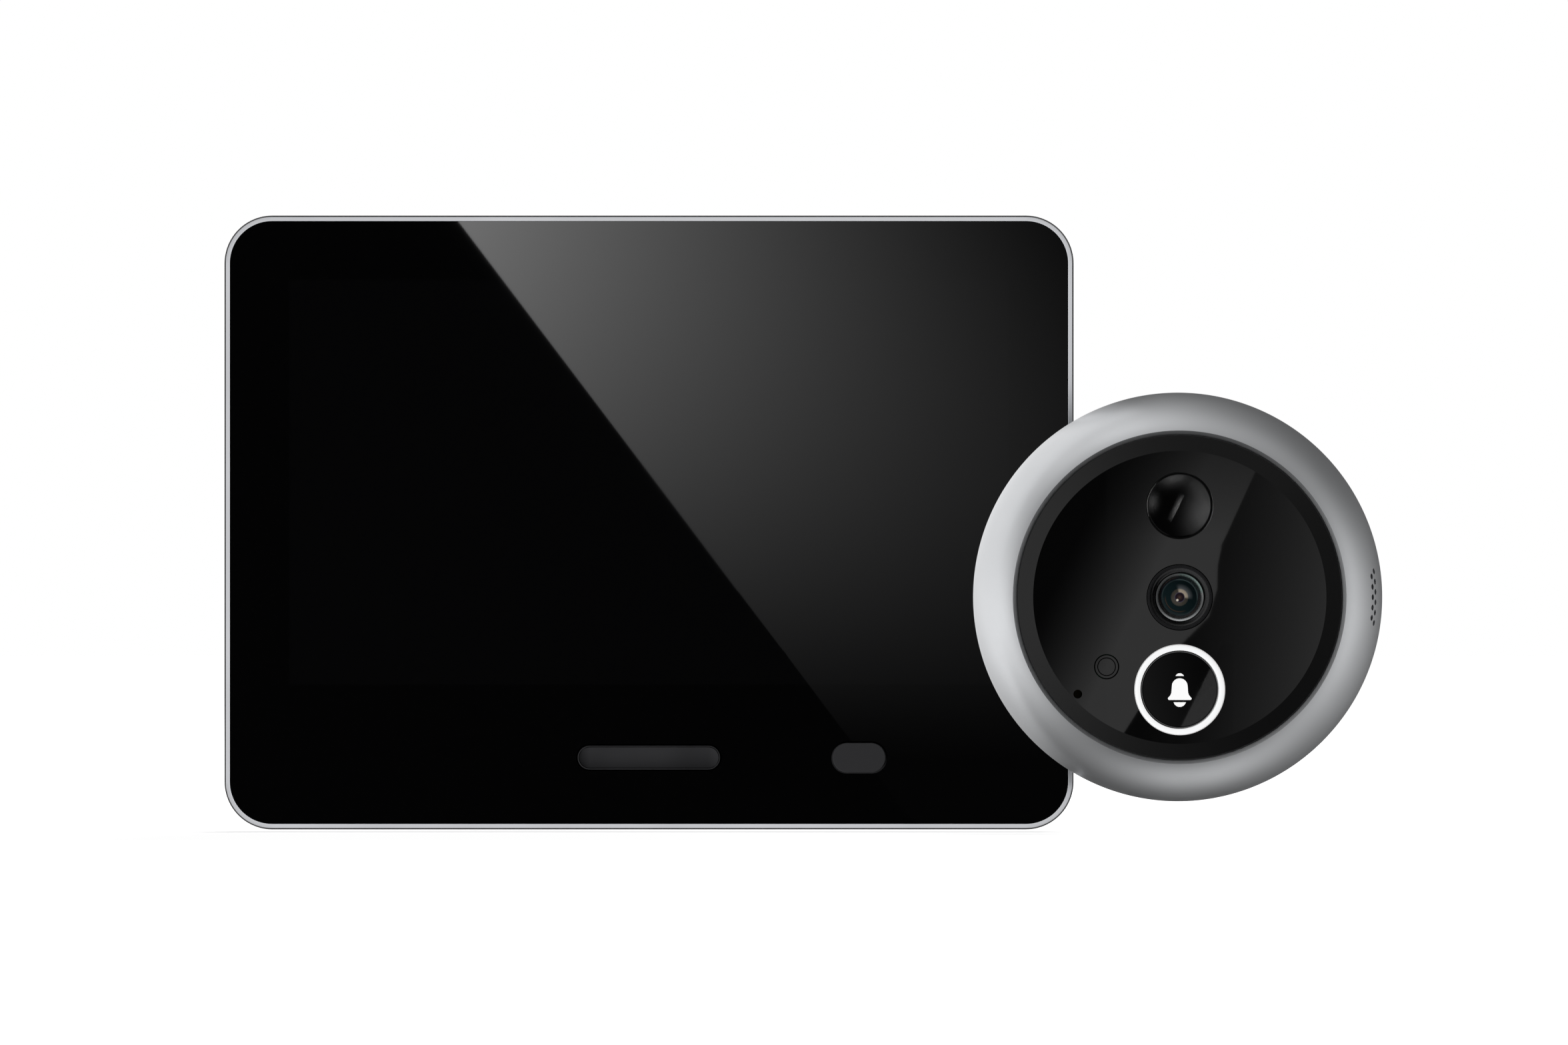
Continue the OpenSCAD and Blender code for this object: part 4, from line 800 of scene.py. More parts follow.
def lens_coating(colours):
    """Front glass with its coating's rings, a lighter painted reflection at the upper right, a brown painted
    reflection at the lower left and a painted warm highlight.
    """
    lens = spot("lens_front_glass")
    material = new_finish("lens_coating", (0.004, 0.016, 0.018), 0.02, IOR=1.6)
    flat = flat_places(material, lens.x, lens.z)
    reach = calculated(material, "DIVIDE", across(material, lens.x, lens.z), LENS_REACH)
    dark = (0.006, 0.014, 0.016)
    navy = (0.003, 0.005, 0.009)
    pupil = ((0.0, (0.1, 0.06, 0.045)), (0.25, (0.035, 0.02, 0.022)), (0.55, (0.012, 0.008, 0.016)))
    plain_rings = (
        (0.63, (0.09, 0.08, 0.12)), (0.7, (0.07, 0.062, 0.05)), (1.05, (0.055, 0.05, 0.042)),
        (1.2, dark), (2.2, dark), (2.34, (0.03, 0.045, 0.047)), (2.42, navy), (2.56, navy),
        (2.62, (0.05, 0.03, 0.018)), (2.68, navy))
    # Painted reflection: lighter beige and teal rings in the upper right sector
    upper_reflection_rings = (
        (0.63, (0.12, 0.1, 0.13)), (0.72, (0.6, 0.5, 0.38)), (1.0, (0.5, 0.43, 0.34)),
        (1.18, (0.12, 0.13, 0.14)), (1.6, (0.04, 0.05, 0.054)), (1.8, dark), (2.2, dark),
        (2.34, (0.11, 0.16, 0.165)), (2.42, navy), (2.68, navy))
    # Painted reflection: brown arcs and a warmer iris in the lower left sector
    lower_reflection_rings = (
        (0.63, (0.09, 0.08, 0.12)), (0.7, (0.08, 0.07, 0.058)), (1.05, (0.07, 0.062, 0.052)),
        (1.2, dark), (1.78, dark), (1.88, (0.05, 0.032, 0.022)), (1.98, dark),
        (2.34, (0.025, 0.035, 0.037)), (2.42, navy), (2.56, navy), (2.62, (0.09, 0.052, 0.03)), (2.68, navy))
    plain, upper, lower = [
        ramp(material, reach, *[(place / LENS_REACH, colour) for place, colour in pupil + rings])
        for rings in (plain_rings, upper_reflection_rings, lower_reflection_rings)]
    colour = blended(material, sector(material, flat, 48, 0.5, 0.75), plain, upper)
    colour = blended(material, sector(material, flat, 235, 0.45, 0.75), colour, lower)
    # Painted highlight: a warm white spot below and left of the lens's middle
    painted_glint = faded(material, across(material, lens.x - 0.3 * MM, lens.z - 0.36 * MM), 0.2, 0.09)
    into(material, blended(material, painted_glint, colour, (0.95, 0.88, 0.74, 1)), "Base Color")
    return material


def lens_inner_coating(colours):
    """Inner glass: brown and violet coating round a dark pupil."""
    lens = spot("lens_inner_glass")
    material = new_finish("lens_inner_coating", (0.02, 0.014, 0.012), 0.06, IOR=1.9)
    reach = calculated(material, "DIVIDE", across(material, lens.x, lens.z), lens.half_w / MM)
    rings = ramp(material, reach, (0.0, (0.06, 0.03, 0.015)), (0.22, (0.012, 0.006, 0.004)),
                 (0.42, (0.02, 0.008, 0.03)), (0.46, (0.16, 0.12, 0.09)), (0.7, (0.2, 0.16, 0.13)),
                 (0.78, (0.02, 0.025, 0.035)), (1.0, (0.004, 0.01, 0.012)))
    into(material, rings, "Base Color")
    return material


def light_guide(colours):
    """White light guide that glows a little."""
    material = new_finish("light_guide", colours.light_guide, 0.35, Subsurface_Weight=0.1,
                          Emission_Color=(1, 1, 1, 1), Emission_Strength=GLOW)
    vary(material, colours.light_guide, noise(material, 4.0), 0.02)
    return material


def symbol_white(colours):
    """White print of the bell symbol, with a painted glow."""
    # Painted glow on the printed symbol
    material = new_finish("symbol_white", colours.symbol, 0.4, Emission_Color=(1, 1, 1, 1),
                          Emission_Strength=GLOW)
    vary(material, colours.symbol, noise(material, 2.0), 0.02)
    return material


def shell_plastic(colours):
    """Black moulded plastic of the rear shell."""
    return grained("shell_plastic", colours.shell, 0.52, 0.45, 0.03)


def bell_plastic(colours):
    """Black moulded plastic inside the bell."""
    return grained("bell_plastic", colours.shell, 0.5, 0.4, 0.025)


def home_key_black(colours):
    """Satin black home key."""
    return grained("home_key_black", colours.home_key, 0.5, 0.15, 0.003, Specular_IOR_Level=0.2)


def power_key_grey(colours):
    """Satin dark grey keys, with painted shade down their sides."""
    material = grained("power_key_grey", colours.power_key, 0.42, 0.15, 0.003, Specular_IOR_Level=0.3)
    # Painted shade: the key's sides, behind its front, are coloured darker
    depth = depth_behind(material, spot("power_key").front)
    side = shaded(colours.power_key, 0.55)
    into(material, ramp(material, depth, (0.15, colours.power_key), (0.25, side)), "Base Color")
    return material


def sleeve_metal(colours):
    """Plated metal with fine turning lines round its axis."""
    return worked("sleeve_metal", colours.sleeve, 0.3, (0.02, 1, 0.02), 0.18, 0.0015)


def bracket_steel(colours):
    """Zinc-plated sheet steel with a faint rolled grain."""
    return worked("bracket_steel", colours.bracket, 0.38, (0.05, 1, 1), 0.4, 0.006)


def pad_adhesive(colours):
    """Foam pads under a red release film."""
    material = grained("pad_adhesive", colours.pad_foam, 0.5, 0.5, 0.02)
    depth = depth_behind(material, spot("bracket_pads").back - MM)
    film = shaded(colours.pad, 0.85)
    layers = ramp(material, depth, (0.78, colours.pad_foam), (0.82, film), (1.0, colours.pad))
    into(material, layers, "Base Color")
    return material


def foam_black(colours):
    """Closed-cell black foam."""
    black = (0.016, 0.016, 0.017)
    material = new_finish("foam_black", black, 0.9)
    inputs = {"Vector": places(material), "Scale": 1 / (0.45 * MM)}
    cells = add_node(material, "TexVoronoi", inputs).outputs[0]
    vary(material, black, cells, 0.4)
    relief(material, cells, 0.6, 0.12)
    return material


def seal_rubber(colours):
    """Matt black rubber."""
    return grained("seal_rubber", (0.014, 0.014, 0.014), 0.62, 0.3, 0.02)


def circuit_board(colours):
    """Green solder mask with faint copper runs."""
    material = new_finish("circuit_board", (0.02, 0.16, 0.07), 0.35)
    inputs = {"Vector": places(material), "Scale": 1 / (6 * MM)}
    runs = add_node(material, "TexBrick", inputs).outputs["Fac"]
    into(material, ramp(material, runs, (0.0, (0.014, 0.12, 0.05)), (1.0, (0.03, 0.2, 0.09))), "Base Color")
    relief(material, noise(material, 0.8), 0.2, 0.01)
    return material


FINISH_MAKERS = {
    "bell_metal": ring_metal,
    "rim_metal": rim_metal,
    "cover_glass": cover_glass,
    "window_black": window_black,
    "button_black": button_black,
    "pir_black": pir_black,
    "sensor_window": sensor_window,
    "lens_black": lens_black,
    "lens_coating": lens_coating,
    "lens_inner_coating": lens_inner_coating,
    "light_guide": light_guide,
    "symbol_white": symbol_white,
    "shell_plastic": shell_plastic,
    "bell_plastic": bell_plastic,
    "home_key_black": home_key_black,
    "power_key_grey": power_key_grey,
    "sleeve_metal": sleeve_metal,
    "bracket_steel": bracket_steel,
    "pad_adhesive": pad_adhesive,
    "foam_black": foam_black,
    "seal_rubber": seal_rubber,
    "circuit_board": circuit_board,
}
METAL_CLASSES = ("aluminium", "brushed_steel", "steel", "brass", "chrome", "copper")


def finish_of(slot):
    """The material of a slot, made when it is first asked for."""
    name = slot + "_finish"
    if name in bpy.data.materials:
        return bpy.data.materials[name]
    maker = FINISH_MAKERS.get(slot)
    if maker:
        material = maker(bpy.context.scene.camera_finishes)
    else:
        entry = next(m for m in frame["record"]["materials"] if m["slot"] == slot)
        colour = entry["base_color"][:3]
        is_metal = entry["class"] in METAL_CLASSES
        material = worked(slot, colour, 0.34) if is_metal else grained(slot, colour, 0.45)
    material.name = name
    return material


# Studio

def receivers(group):
    """The collection of the pieces that one light group shines on."""
    return bpy.data.collections.get(group) or bpy.data.collections.new(group)


def depth_of_camera(studio):
    """The camera's place along the depth."""
    return spot("cover_glass").front - studio.camera_away


def as_light(piece, group, material):
    """Marks a piece as a light of the studio that only the gloss of one group sees."""
    piece.data.materials.clear()
    piece.data.materials.append(material)
    piece.visible_camera = False
    piece.visible_diffuse = False
    piece.visible_shadow = False
    piece.visible_transmission = False
    piece.light_linking.receiver_collection = receivers(group)
    return piece


def thin_light(name):
    """A surface that only adds light to what passes through it."""
    material = bpy.data.materials.new(name)
    material.use_nodes = True
    material.cycles.emission_sampling = "NONE"
    nodes = material.node_tree.nodes
    nodes.remove(nodes["Principled BSDF"])
    light = add_node(material, "Emission")
    clear = add_node(material, "BsdfTransparent")
    both = add_node(material, "AddShader", {0: light.outputs[0], 1: clear.outputs[0]})
    material.node_tree.links.new(both.outputs[0], nodes["Material Output"].inputs["Surface"])
    return material, light.inputs["Strength"]


def field_light(owner, way, level, fields):
    """Adds up soft light fields for the directions of a vector."""
    for around, off, strength, width in fields:
        around = math.radians(around)
        off = math.radians(off)
        aim = (math.sin(off) * math.cos(around), -math.cos(off), math.sin(off) * math.sin(around))
        power = math.log(0.5) / math.log((1 + math.cos(math.radians(width))) / 2)
        half = calculated(owner, "MULTIPLY_ADD", along(owner, way, aim), 0.5, 0.5)
        glow = calculated(owner, "POWER", half, power)
        level = calculated(owner, "MULTIPLY_ADD", glow, strength, level)
    return level


def light_shell(group, level, fields, radius, strip=None):
    """A wide shell of soft light round the object for one light group."""
    rest()
    bpy.ops.mesh.primitive_ico_sphere_add(subdivisions=4, radius=radius, location=(0, 0, 0))
    shell = named(group + "_shell")
    material, strength = thin_light(group)
    coordinates = add_node(material, "TexCoord").outputs["Object"]
    way = add_node(material, "VectorMath", {0: coordinates}, operation="NORMALIZE").outputs["Vector"]
    light = field_light(material, way, level, fields)
    if strip:
        light = calculated(material, "ADD", light, strip(material, way))
    material.node_tree.links.new(light, strength)
    as_light(shell, group, material)


def dome_strip(material, way):
    """A slanted strip of light with one sharp side."""
    slant = math.radians(63.8)
    side = along(material, way, (-math.sin(slant), 0, math.cos(slant)))
    length_way = along(material, way, (math.cos(slant), 0, math.sin(slant)))
    sharp_side = faded(material, side, -0.006, 0.006)
    soft_side = faded(material, side, 0.29, 0.0)
    lower_end = faded(material, length_way, -0.78, -0.17)
    upper_end = faded(material, length_way, 0.53, 0.08)
    level = 3.2
    for share in (sharp_side, soft_side, soft_side, lower_end, upper_end):
        level = calculated(material, "MULTIPLY", level, share)
    return level


def grey_light(material, level, grey):
    """The light that a glass mirror shows as a share of a display grey."""
    whole = 1 + GREY_OFFSET
    lifted = calculated(material, "MULTIPLY_ADD", level, grey / 255 / whole, GREY_OFFSET / whole)
    light = calculated(material, "POWER", lifted, GREY_POWER)
    return calculated(material, "MULTIPLY", light, 1 / MIRROR_SHARE)


def light_panel(name, group, mirror, outline, grey, studio, fades):
    """A flat light panel behind the camera that a mirror piece shows as a grey patch.

    The outline and the fades are in millimetres from the mirror's middle.
    """
    away = studio.cards_away
    reach = away / (mirror.front - depth_of_camera(studio))
    corners = [(mirror.x + right * MM, mirror.z + up * MM) for right, up in outline]
    points = [(x + (x - studio.camera_side) * reach, mirror.front - away, z + z * reach) for x, z in corners]
    panel = chain(name, points)
    bpy.ops.mesh.edge_face_add()
    rest()
    material, strength = thin_light(name)
    scale = 1 / (1 + reach) / MM
    shift = (studio.camera_side * reach / (1 + reach) / MM, 0, 0)
    coordinates = add_node(material, "TexCoord").outputs["Object"]
    inputs = {"Vector": coordinates, "Location": shift, "Scale": (scale, 0, scale)}
    seen = add_node(material, "Mapping", inputs).outputs["Vector"]
    level = 1.0
    for (right, up), start, end in fades:
        middle = (right * mirror.x + up * mirror.z) / MM
        rise = faded(material, along(material, seen, (right, 0, up)), middle + start, middle + end)
        level = calculated(material, "MULTIPLY", rise, level)
    material.node_tree.links.new(grey_light(material, level, grey), strength)
    return as_light(panel, group, material)


def fill_light(name, direction, away, size, power):
    """A round soft light on the matt surfaces, which no gloss shows."""
    rest()
    aim = Vector(FILL_AIM)
    place = aim + Vector(direction).normalized() * away
    turn_to = (aim - place).to_track_quat("-Z", "Y").to_euler()
    bpy.ops.object.light_add(type="AREA", location=place, rotation=turn_to)
    light = bpy.context.object
    light.name = name
    light.data.shape = "DISK"
    light.data.size = size
    light.data.energy = power
    light.visible_camera = False
    light.visible_glossy = False
    rest()


class DOORCAM_OT_stage(bpy.types.Operator):
    """Sets up the floor, the soft lights, the reflection panels and the camera"""
    bl_idname = "doorcam.stage"
    bl_label = "Studio"

    def execute(self, context):
        studio = context.scene.camera_studio
        self.camera(studio)
        self.floor(studio)
        self.surround(studio)
        for rank, (group, (level, fields, slots)) in enumerate(LIGHT_GROUPS.items()):
            if fields:
                strip = dome_strip if group == "dome_light" else None
                light_shell(group, level, fields, studio.shell_size * (1 + rank * SHELL_STEP), strip)
        self.glass_panel(studio)
        self.window_panels(studio)
        self.button_panels(studio)
        self.bounce_card(studio)
        for name, values in FILL_LIGHTS.items():
            fill_light(name, *values)
        context.scene.view_settings.view_transform = "Standard"
        return {"FINISHED"}

    def camera(self, studio):
        """Stands the camera straight in front."""
        place = (studio.camera_side, depth_of_camera(studio), 0)
        bpy.ops.object.camera_add(location=place, rotation=(math.pi / 2, 0, 0))
        camera = bpy.context.object
        camera.name = "camera"
        camera.data.lens = studio.focal
        camera.data.sensor_width = 36
        camera.data.clip_end = 100
        bpy.context.scene.camera = camera

    def floor(self, studio):
        """Lays a pale floor just under the monitor."""
        rest()
        low, high = cad_box
        bpy.ops.mesh.primitive_plane_add(size=studio.floor_size, location=(0, 0, low[2] - studio.floor_gap))
        floor = named("floor")
        white = new_finish("floor_white", (0.8, 0.8, 0.8), 1.0, Specular_IOR_Level=0.0,
                           Emission_Color=(1, 1, 1, 1))
        away = add_node(white, "VectorMath", {0: places(white)}, operation="LENGTH").outputs["Value"]
        level = add_node(white, "MapRange", {"Value": away, "From Min": 0.1, "From Max": 0.45,
                                             "To Min": 0.85, "To Max": 1.0}).outputs["Result"]
        into(white, level, "Emission Strength")
        floor.data.materials.append(white)
        floor.visible_diffuse = False
        floor.visible_glossy = False
        floor.visible_shadow = False

    def surround(self, studio):
        """White behind the object, and dim walls all round for what it mirrors."""
        world = bpy.data.worlds.new("studio")
        bpy.context.scene.world = world
        world.use_nodes = True
        links = world.node_tree.links
        walls = world.node_tree.nodes["Background"]
        walls.inputs["Color"].default_value = (1, 1, 1, 1)
        walls.inputs["Strength"].default_value = studio.surround
        white = add_node(world, "Background", {"Color": (1, 1, 1, 1)})
        seen = add_node(world, "LightPath").outputs["Is Camera Ray"]
        mix = add_node(world, "MixShader", {0: seen, 1: walls.outputs[0], 2: white.outputs[0]})
        links.new(mix.outputs[0], world.node_tree.nodes["World Output"].inputs[0])

    def glass_panel(self, studio):
        """The slanted reflection in the cover glass."""
        outline = [(-29.08, 45), (60, 45), (60, -41), (35.84, -41)]
        fades = [((0, 1), -31.5, 39.7), ((1, 0.7549), 93.9, 4.89)]
        light_panel("glass_panel", "glass_light", spot("cover_glass"), outline, 110, studio, fades)

    def window_panels(self, studio):
        """The two reflections in the window, divided by a swung line."""
        window = spot("bell_window")
        swing = [(9.81, 16.29), (5.47, 6.77), (4.97, 4.10), (4.90, 1.10), (3.80, -2.57), (1.46, -4.91),
                 (0.29, -6.08), (-5.21, -14.43), (-7.22, -17.60)]
        radius = 21.0
        start = math.degrees(math.atan2(17.9, 10.5))
        end = math.degrees(math.atan2(-19.3, -8.3)) + 360
        left = arc(0, 0, radius, start, end, 40) + swing[::-1]
        right = arc(0, 0, radius, end - 360, start, 40) + swing
        left_fades = [((1, -0.49), -17.2, -5.1), ((0, 1), 38, 8)]
        right_fades = [((1, -0.17), -1.7, 19.6)]
        light_panel("window_panel_left", "window_light", window, left, 47, studio, left_fades)
        light_panel("window_panel_right", "window_light", window, right, 39, studio, right_fades)

    def button_panels(self, studio):
        """The dim reflection and the lighter wedge in the button's cap."""
        cap = spot("bell_button")
        disc = arc(0, 0, 6.0, 0, 345, 23)
        wedge = [(5.6, 6.0), (-1.5, -8.2), (7.0, -8.2), (7.0, 6.0)]
        light_panel("button_panel", "button_light", cap, disc, 20, studio, [((1, 0.2), 6.0, -4.5)])
        light_panel("button_wedge", "button_light", cap, wedge, 58, studio, [])

    def bounce_card(self, studio):
        """A card over the monitor that lights the left flank of the bell's ring."""
        rest()
        glass = spot("cover_glass")
        ring = spot("bell_housing")
        depth = (glass.front + ring.back) / 2
        spare = studio.card_spare
        bpy.ops.mesh.primitive_plane_add(size=1, location=(glass.x + spare / 2, depth, glass.z),
                                         rotation=(math.pi / 2, 0, 0))
        card = named("bounce_card")
        card.scale = (2 * glass.half_w + spare, 2 * glass.half_h, 1)
        bpy.ops.object.transform_apply(location=True, rotation=True, scale=True)
        material, strength = thin_light("bounce_card")
        near = flat_places(material, ring.x, ring.z)
        slanted = faded(material, along(material, near, (-0.866, 0, 0.5)), -2.0, 28.0)
        beside = faded(material, along(material, near, (1, 0, 0)), -8.0, -18.0)
        level = calculated(material, "MULTIPLY", slanted, beside)
        light = calculated(material, "MULTIPLY_ADD", level, 1.03, 0.03)
        material.node_tree.links.new(light, strength)
        as_light(card, "metal_light", material)


# Indoor monitor

class DOORCAM_OT_cover_glass(bpy.types.Operator):
    """Models the cover glass with its ground edge and its openings for the keys"""
    bl_idname = "doorcam.cover_glass"
    bl_label = "Cover glass"

    def execute(self, context):
        sizes = context.scene.monitor_sizes
        glass = spot("cover_glass")
        piece = slab("cover_glass_front", glass.x, glass.z, 2 * glass.half_w, 2 * glass.half_h,
                     sizes.corner - sizes.rim_width, glass.back, glass.front, CORNER_STEPS)
        for node in ("home_key", "power_key"):
            key = spot(node)
            spare = sizes.key_gap - sizes.key_flange
            opening = slab("opening", key.x, key.z, 2 * (key.half_w + spare), 2 * (key.half_h + spare),
                           key.half_h + spare, glass.back + OVERCUT, glass.front - OVERCUT, CORNER_STEPS)
            combined(piece, opening, "DIFFERENCE")
        soften(piece, sizes.glass_edge)
        settle(piece, "monitor", "cover_glass", "cover_glass", limit=15)
        return {"FINISHED"}


class DOORCAM_OT_metal_rim(bpy.types.Operator):
    """Sweeps the metal rim round the monitor"""
    bl_idname = "doorcam.metal_rim"
    bl_label = "Metal rim"

    def execute(self, context):
        sizes = context.scene.monitor_sizes
        rim = spot("rear_shell")
        glass = spot("cover_glass")
        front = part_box("metal_rim")[0].y
        parting = rim.front
        r = sizes.corner
        inside = r - sizes.rim_width
        slope_end = r - sizes.rim_edge
        knee = front + (slope_end - inside) * math.tan(sizes.rim_slope)
        foot = knee + sizes.rim_edge * math.tan(sizes.rim_edge_slope)
        ledge = inside - sizes.rim_ledge
        ledge_back = glass.back + sizes.rim_ledge_depth
        wall = r - sizes.shell_wall
        profile = [(r, parting), (r, foot), (slope_end, knee), (inside, front), (inside, glass.back),
                   (ledge, glass.back), (ledge, ledge_back), (wall, ledge_back), (wall, parting)]
        wide = rim.half_w - r
        high = rim.half_h - r
        piece = chain("metal_rim_band", [(wide + out, y, high) for out, y in profile])
        for x, z, step in ((wide, high, (-2 * wide, 0, 0)), (-wide, high, (0, 0, -2 * high)),
                           (-wide, -high, (2 * wide, 0, 0)), (wide, -high, (0, 0, 2 * high))):
            bpy.ops.mesh.spin(steps=CORNER_STEPS, angle=math.pi / 2, center=(x, 0, z), axis=(0, 1, 0))
            bpy.ops.mesh.extrude_region_move(TRANSFORM_OT_translate={"value": step})
        close_up(piece)
        soften(piece, sizes.rim_round, 2, 20)
        settle(piece, "monitor", "rim_metal", "metal_rim", limit=20)
        return {"FINISHED"}


class DOORCAM_OT_rear_shell(bpy.types.Operator):
    """Smooths the moulded rear shell"""
    bl_idname = "doorcam.rear_shell"
    bl_label = "Rear shell"

    def execute(self, context):
        piece = node_copy("rear_shell_moulding", "rear_shell")
        settle(piece, "monitor", "shell_plastic", "rear_shell")
        return {"FINISHED"}


def key_body(name, node, sizes, edge, skirt=0):
    """A pill-shaped key with its flange and stem and, where one is given, a skirt round its foot."""
    key = spot(node)
    glass = spot("cover_glass")
    flange_front = glass.back + sizes.flange_gap
    flange_back = flange_front + sizes.key_flange_depth
    half_w = key.half_w - sizes.key_flange
    half_h = key.half_h - sizes.key_flange
    piece = slab(name, key.x, key.z, 2 * half_w, 2 * half_h, half_h, flange_back, key.front, CORNER_STEPS)
    soften(piece, edge, 5)
    if skirt:
        drop = skirt / 2
        foot = slab("foot", key.x, key.z - drop, 2 * (half_w + skirt), 2 * (half_h + drop), half_h + drop,
                    flange_back, glass.front, CORNER_STEPS)
        combined(piece, foot, "UNION")
    flange = slab("flange", key.x, key.z, 2 * key.half_w, 2 * key.half_h, key.half_h,
                  flange_back, flange_front, CORNER_STEPS)
    combined(piece, flange, "UNION")
    combined(piece, pin("stem", key.x, key.z, sizes.key_stem, key.back, flange_back - OVERCUT, 48), "UNION")
    return piece


class DOORCAM_OT_monitor_keys(bpy.types.Operator):
    """Models the scooped home key and the raised power key"""
    bl_idname = "doorcam.monitor_keys"
    bl_label = "Monitor keys"

    def execute(self, context):
        sizes = context.scene.monitor_sizes
        home = spot("home_key")
        half_h = home.half_h - sizes.key_flange
        piece = key_body("home_key_pill", "home_key", sizes, sizes.home_edge)
        groove = self.pill("groove", home, sizes.scoop_lip, sizes, 0)
        core = self.pill("core", home, sizes.scoop_lip + sizes.lip_groove, sizes, OVERCUT)
        combined(piece, combined(groove, core, "DIFFERENCE"), "DIFFERENCE")
        opening = half_h - sizes.scoop_lip - sizes.lip_groove + sizes.scoop_spread
        radius = (opening ** 2 + sizes.scoop ** 2) / (2 * sizes.scoop)
        straight = home.half_w - sizes.key_flange - half_h
        ends = arc(0, straight, radius, 90, 0, 24)
        capsule = [(out, place) for out, place in ends] + [(out, -place) for out, place in ends[::-1]]
        middle = (home.x, home.front - radius + sizes.scoop, home.z)
        scoop = spun("scoop", capsule, middle, False, (1, 0, 0), (0, 1, 0), 96)
        combined(piece, scoop, "DIFFERENCE")
        settle(piece, "home_key", "home_key_black", "home_key")
        settle(key_body("power_key_pill", "power_key", sizes, sizes.power_edge, sizes.power_skirt),
               "power_key", "power_key_grey", "power_key")
        return {"FINISHED"}

    def pill(self, name, key, inset, sizes, spare):
        """A pill inside a key's front, as deep as the lip's groove."""
        half_w = key.half_w - sizes.key_flange - inset
        half_h = key.half_h - sizes.key_flange - inset
        return slab(name, key.x, key.z, 2 * half_w, 2 * half_h, half_h,
                    key.front + sizes.lip_groove_depth + spare, key.front - OVERCUT - spare, CORNER_STEPS)


# Outdoor bell

class DOORCAM_OT_bell_housing(bpy.types.Operator):
    """Spins the metal ring and drills its sound holes"""
    bl_idname = "doorcam.bell_housing"
    bl_label = "Bell housing"

    def execute(self, context):
        sizes = context.scene.bell_sizes
        housing = spot("bell_housing")
        window = spot("bell_window")
        r = housing.half_w
        depth = housing.back - housing.front
        seat = window.half_w + sizes.seat_gap
        mouth = seat + sizes.mouth_chamfer
        side = sizes.side_height
        wall = sizes.ring_wall
        wide = (r - mouth) / (1 - math.cos(sizes.flank_turn))
        high = (depth - side) / math.sin(sizes.flank_turn)
        ledge_front = housing.back - window.back
        ledge_back = ledge_front - sizes.ledge_depth
        ledge = window.half_w - sizes.ledge_width
        lining_turn = math.asin((ledge_back - side) / (high - wall))
        profile = [(r - sizes.back_chamfer, 0), (r, sizes.back_chamfer)]
        profile += [(r - wide * (1 - math.cos(t)), side + high * math.sin(t))
                    for t in between(0, sizes.flank_turn, 44)]
        profile += [(seat, depth - sizes.mouth_chamfer), (seat, ledge_front),
                    (ledge, ledge_front), (ledge, ledge_back)]
        profile += [(r - wall - (wide - wall) * (1 - math.cos(t)), side + (high - wall) * math.sin(t))
                    for t in between(lining_turn, 0, 16)]
        profile += [(r - wall, 0)]
        piece = turned("bell_housing_ring", "bell_housing", profile, steps=256)
        combined(piece, joined(self.drills(housing, wide, high, sizes)), "DIFFERENCE")
        settle(piece, "door_mount", "bell_metal", "bell_housing", limit=30)
        return {"FINISHED"}

    def drills(self, housing, wide, high, sizes):
        """Drills for the two rows of sound holes, square to the flank."""
        made = []
        for row, count in zip((sizes.inner_row, sizes.outer_row), SOUND_HOLES):
            out = housing.half_w - wide * (1 - math.cos(row))
            up = sizes.side_height + high * math.sin(row)
            tilt = Vector((math.cos(row) / wide, math.sin(row) / high)).normalized()
            for i in range(count):
                swing = (i - (count - 1) / 2) * sizes.hole_pitch / out
                place = (housing.x + out * math.cos(swing), housing.back - up,
                         housing.z + out * math.sin(swing))
                aim = Vector((tilt.x * math.cos(swing), -tilt.y, tilt.x * math.sin(swing)))
                rest()
                bpy.ops.mesh.primitive_cylinder_add(
                    vertices=32, radius=sizes.hole_radius, depth=4 * sizes.ring_wall, location=place,
                    rotation=aim.to_track_quat("Z", "Y").to_euler())
                made.append(named("drill"))
        return made


class DOORCAM_OT_bell_window(bpy.types.Operator):
    """Models the bevelled black window and its openings"""
    bl_idname = "doorcam.bell_window"
    bl_label = "Bell window"

    def execute(self, context):
        sizes = context.scene.bell_sizes
        lens = context.scene.lens_sizes
        window = spot("bell_window")
        r = window.half_w
        front = window.back - window.front
        hole = lens.neck + sizes.hole_gap
        profile = [(hole, 0), (r, 0), (r, front - sizes.bevel_depth),
                   (r - sizes.bevel_width, front), (hole, front)]
        piece = turned("bell_window_disc", "bell_window", profile, steps=256)
        openings = [(spot("pir_lens"), spot("pir_lens").half_w - sizes.flange + sizes.dome_gap),
                    (spot("light_ring"), spot("light_ring").half_w - sizes.flange + sizes.hole_gap),
                    (spot("light_sensor_lens"), spot("light_sensor_lens").half_w + sizes.hole_gap),
                    (spot("mic_boot"), sizes.mic_radius)]
        for place, radius in openings:
            drill = pin("drill", place.x, place.z, radius,
                        window.back + OVERCUT, window.front - OVERCUT, 120)
            combined(piece, drill, "DIFFERENCE")
        soften(piece, sizes.hole_edge, 2)
        edit(piece)
        close_up(piece)
        edit(piece)
        bpy.ops.mesh.fill_holes(sides=4)
        settle(piece, "door_mount", "window_black", "bell_window", limit=15)
        return {"FINISHED"}


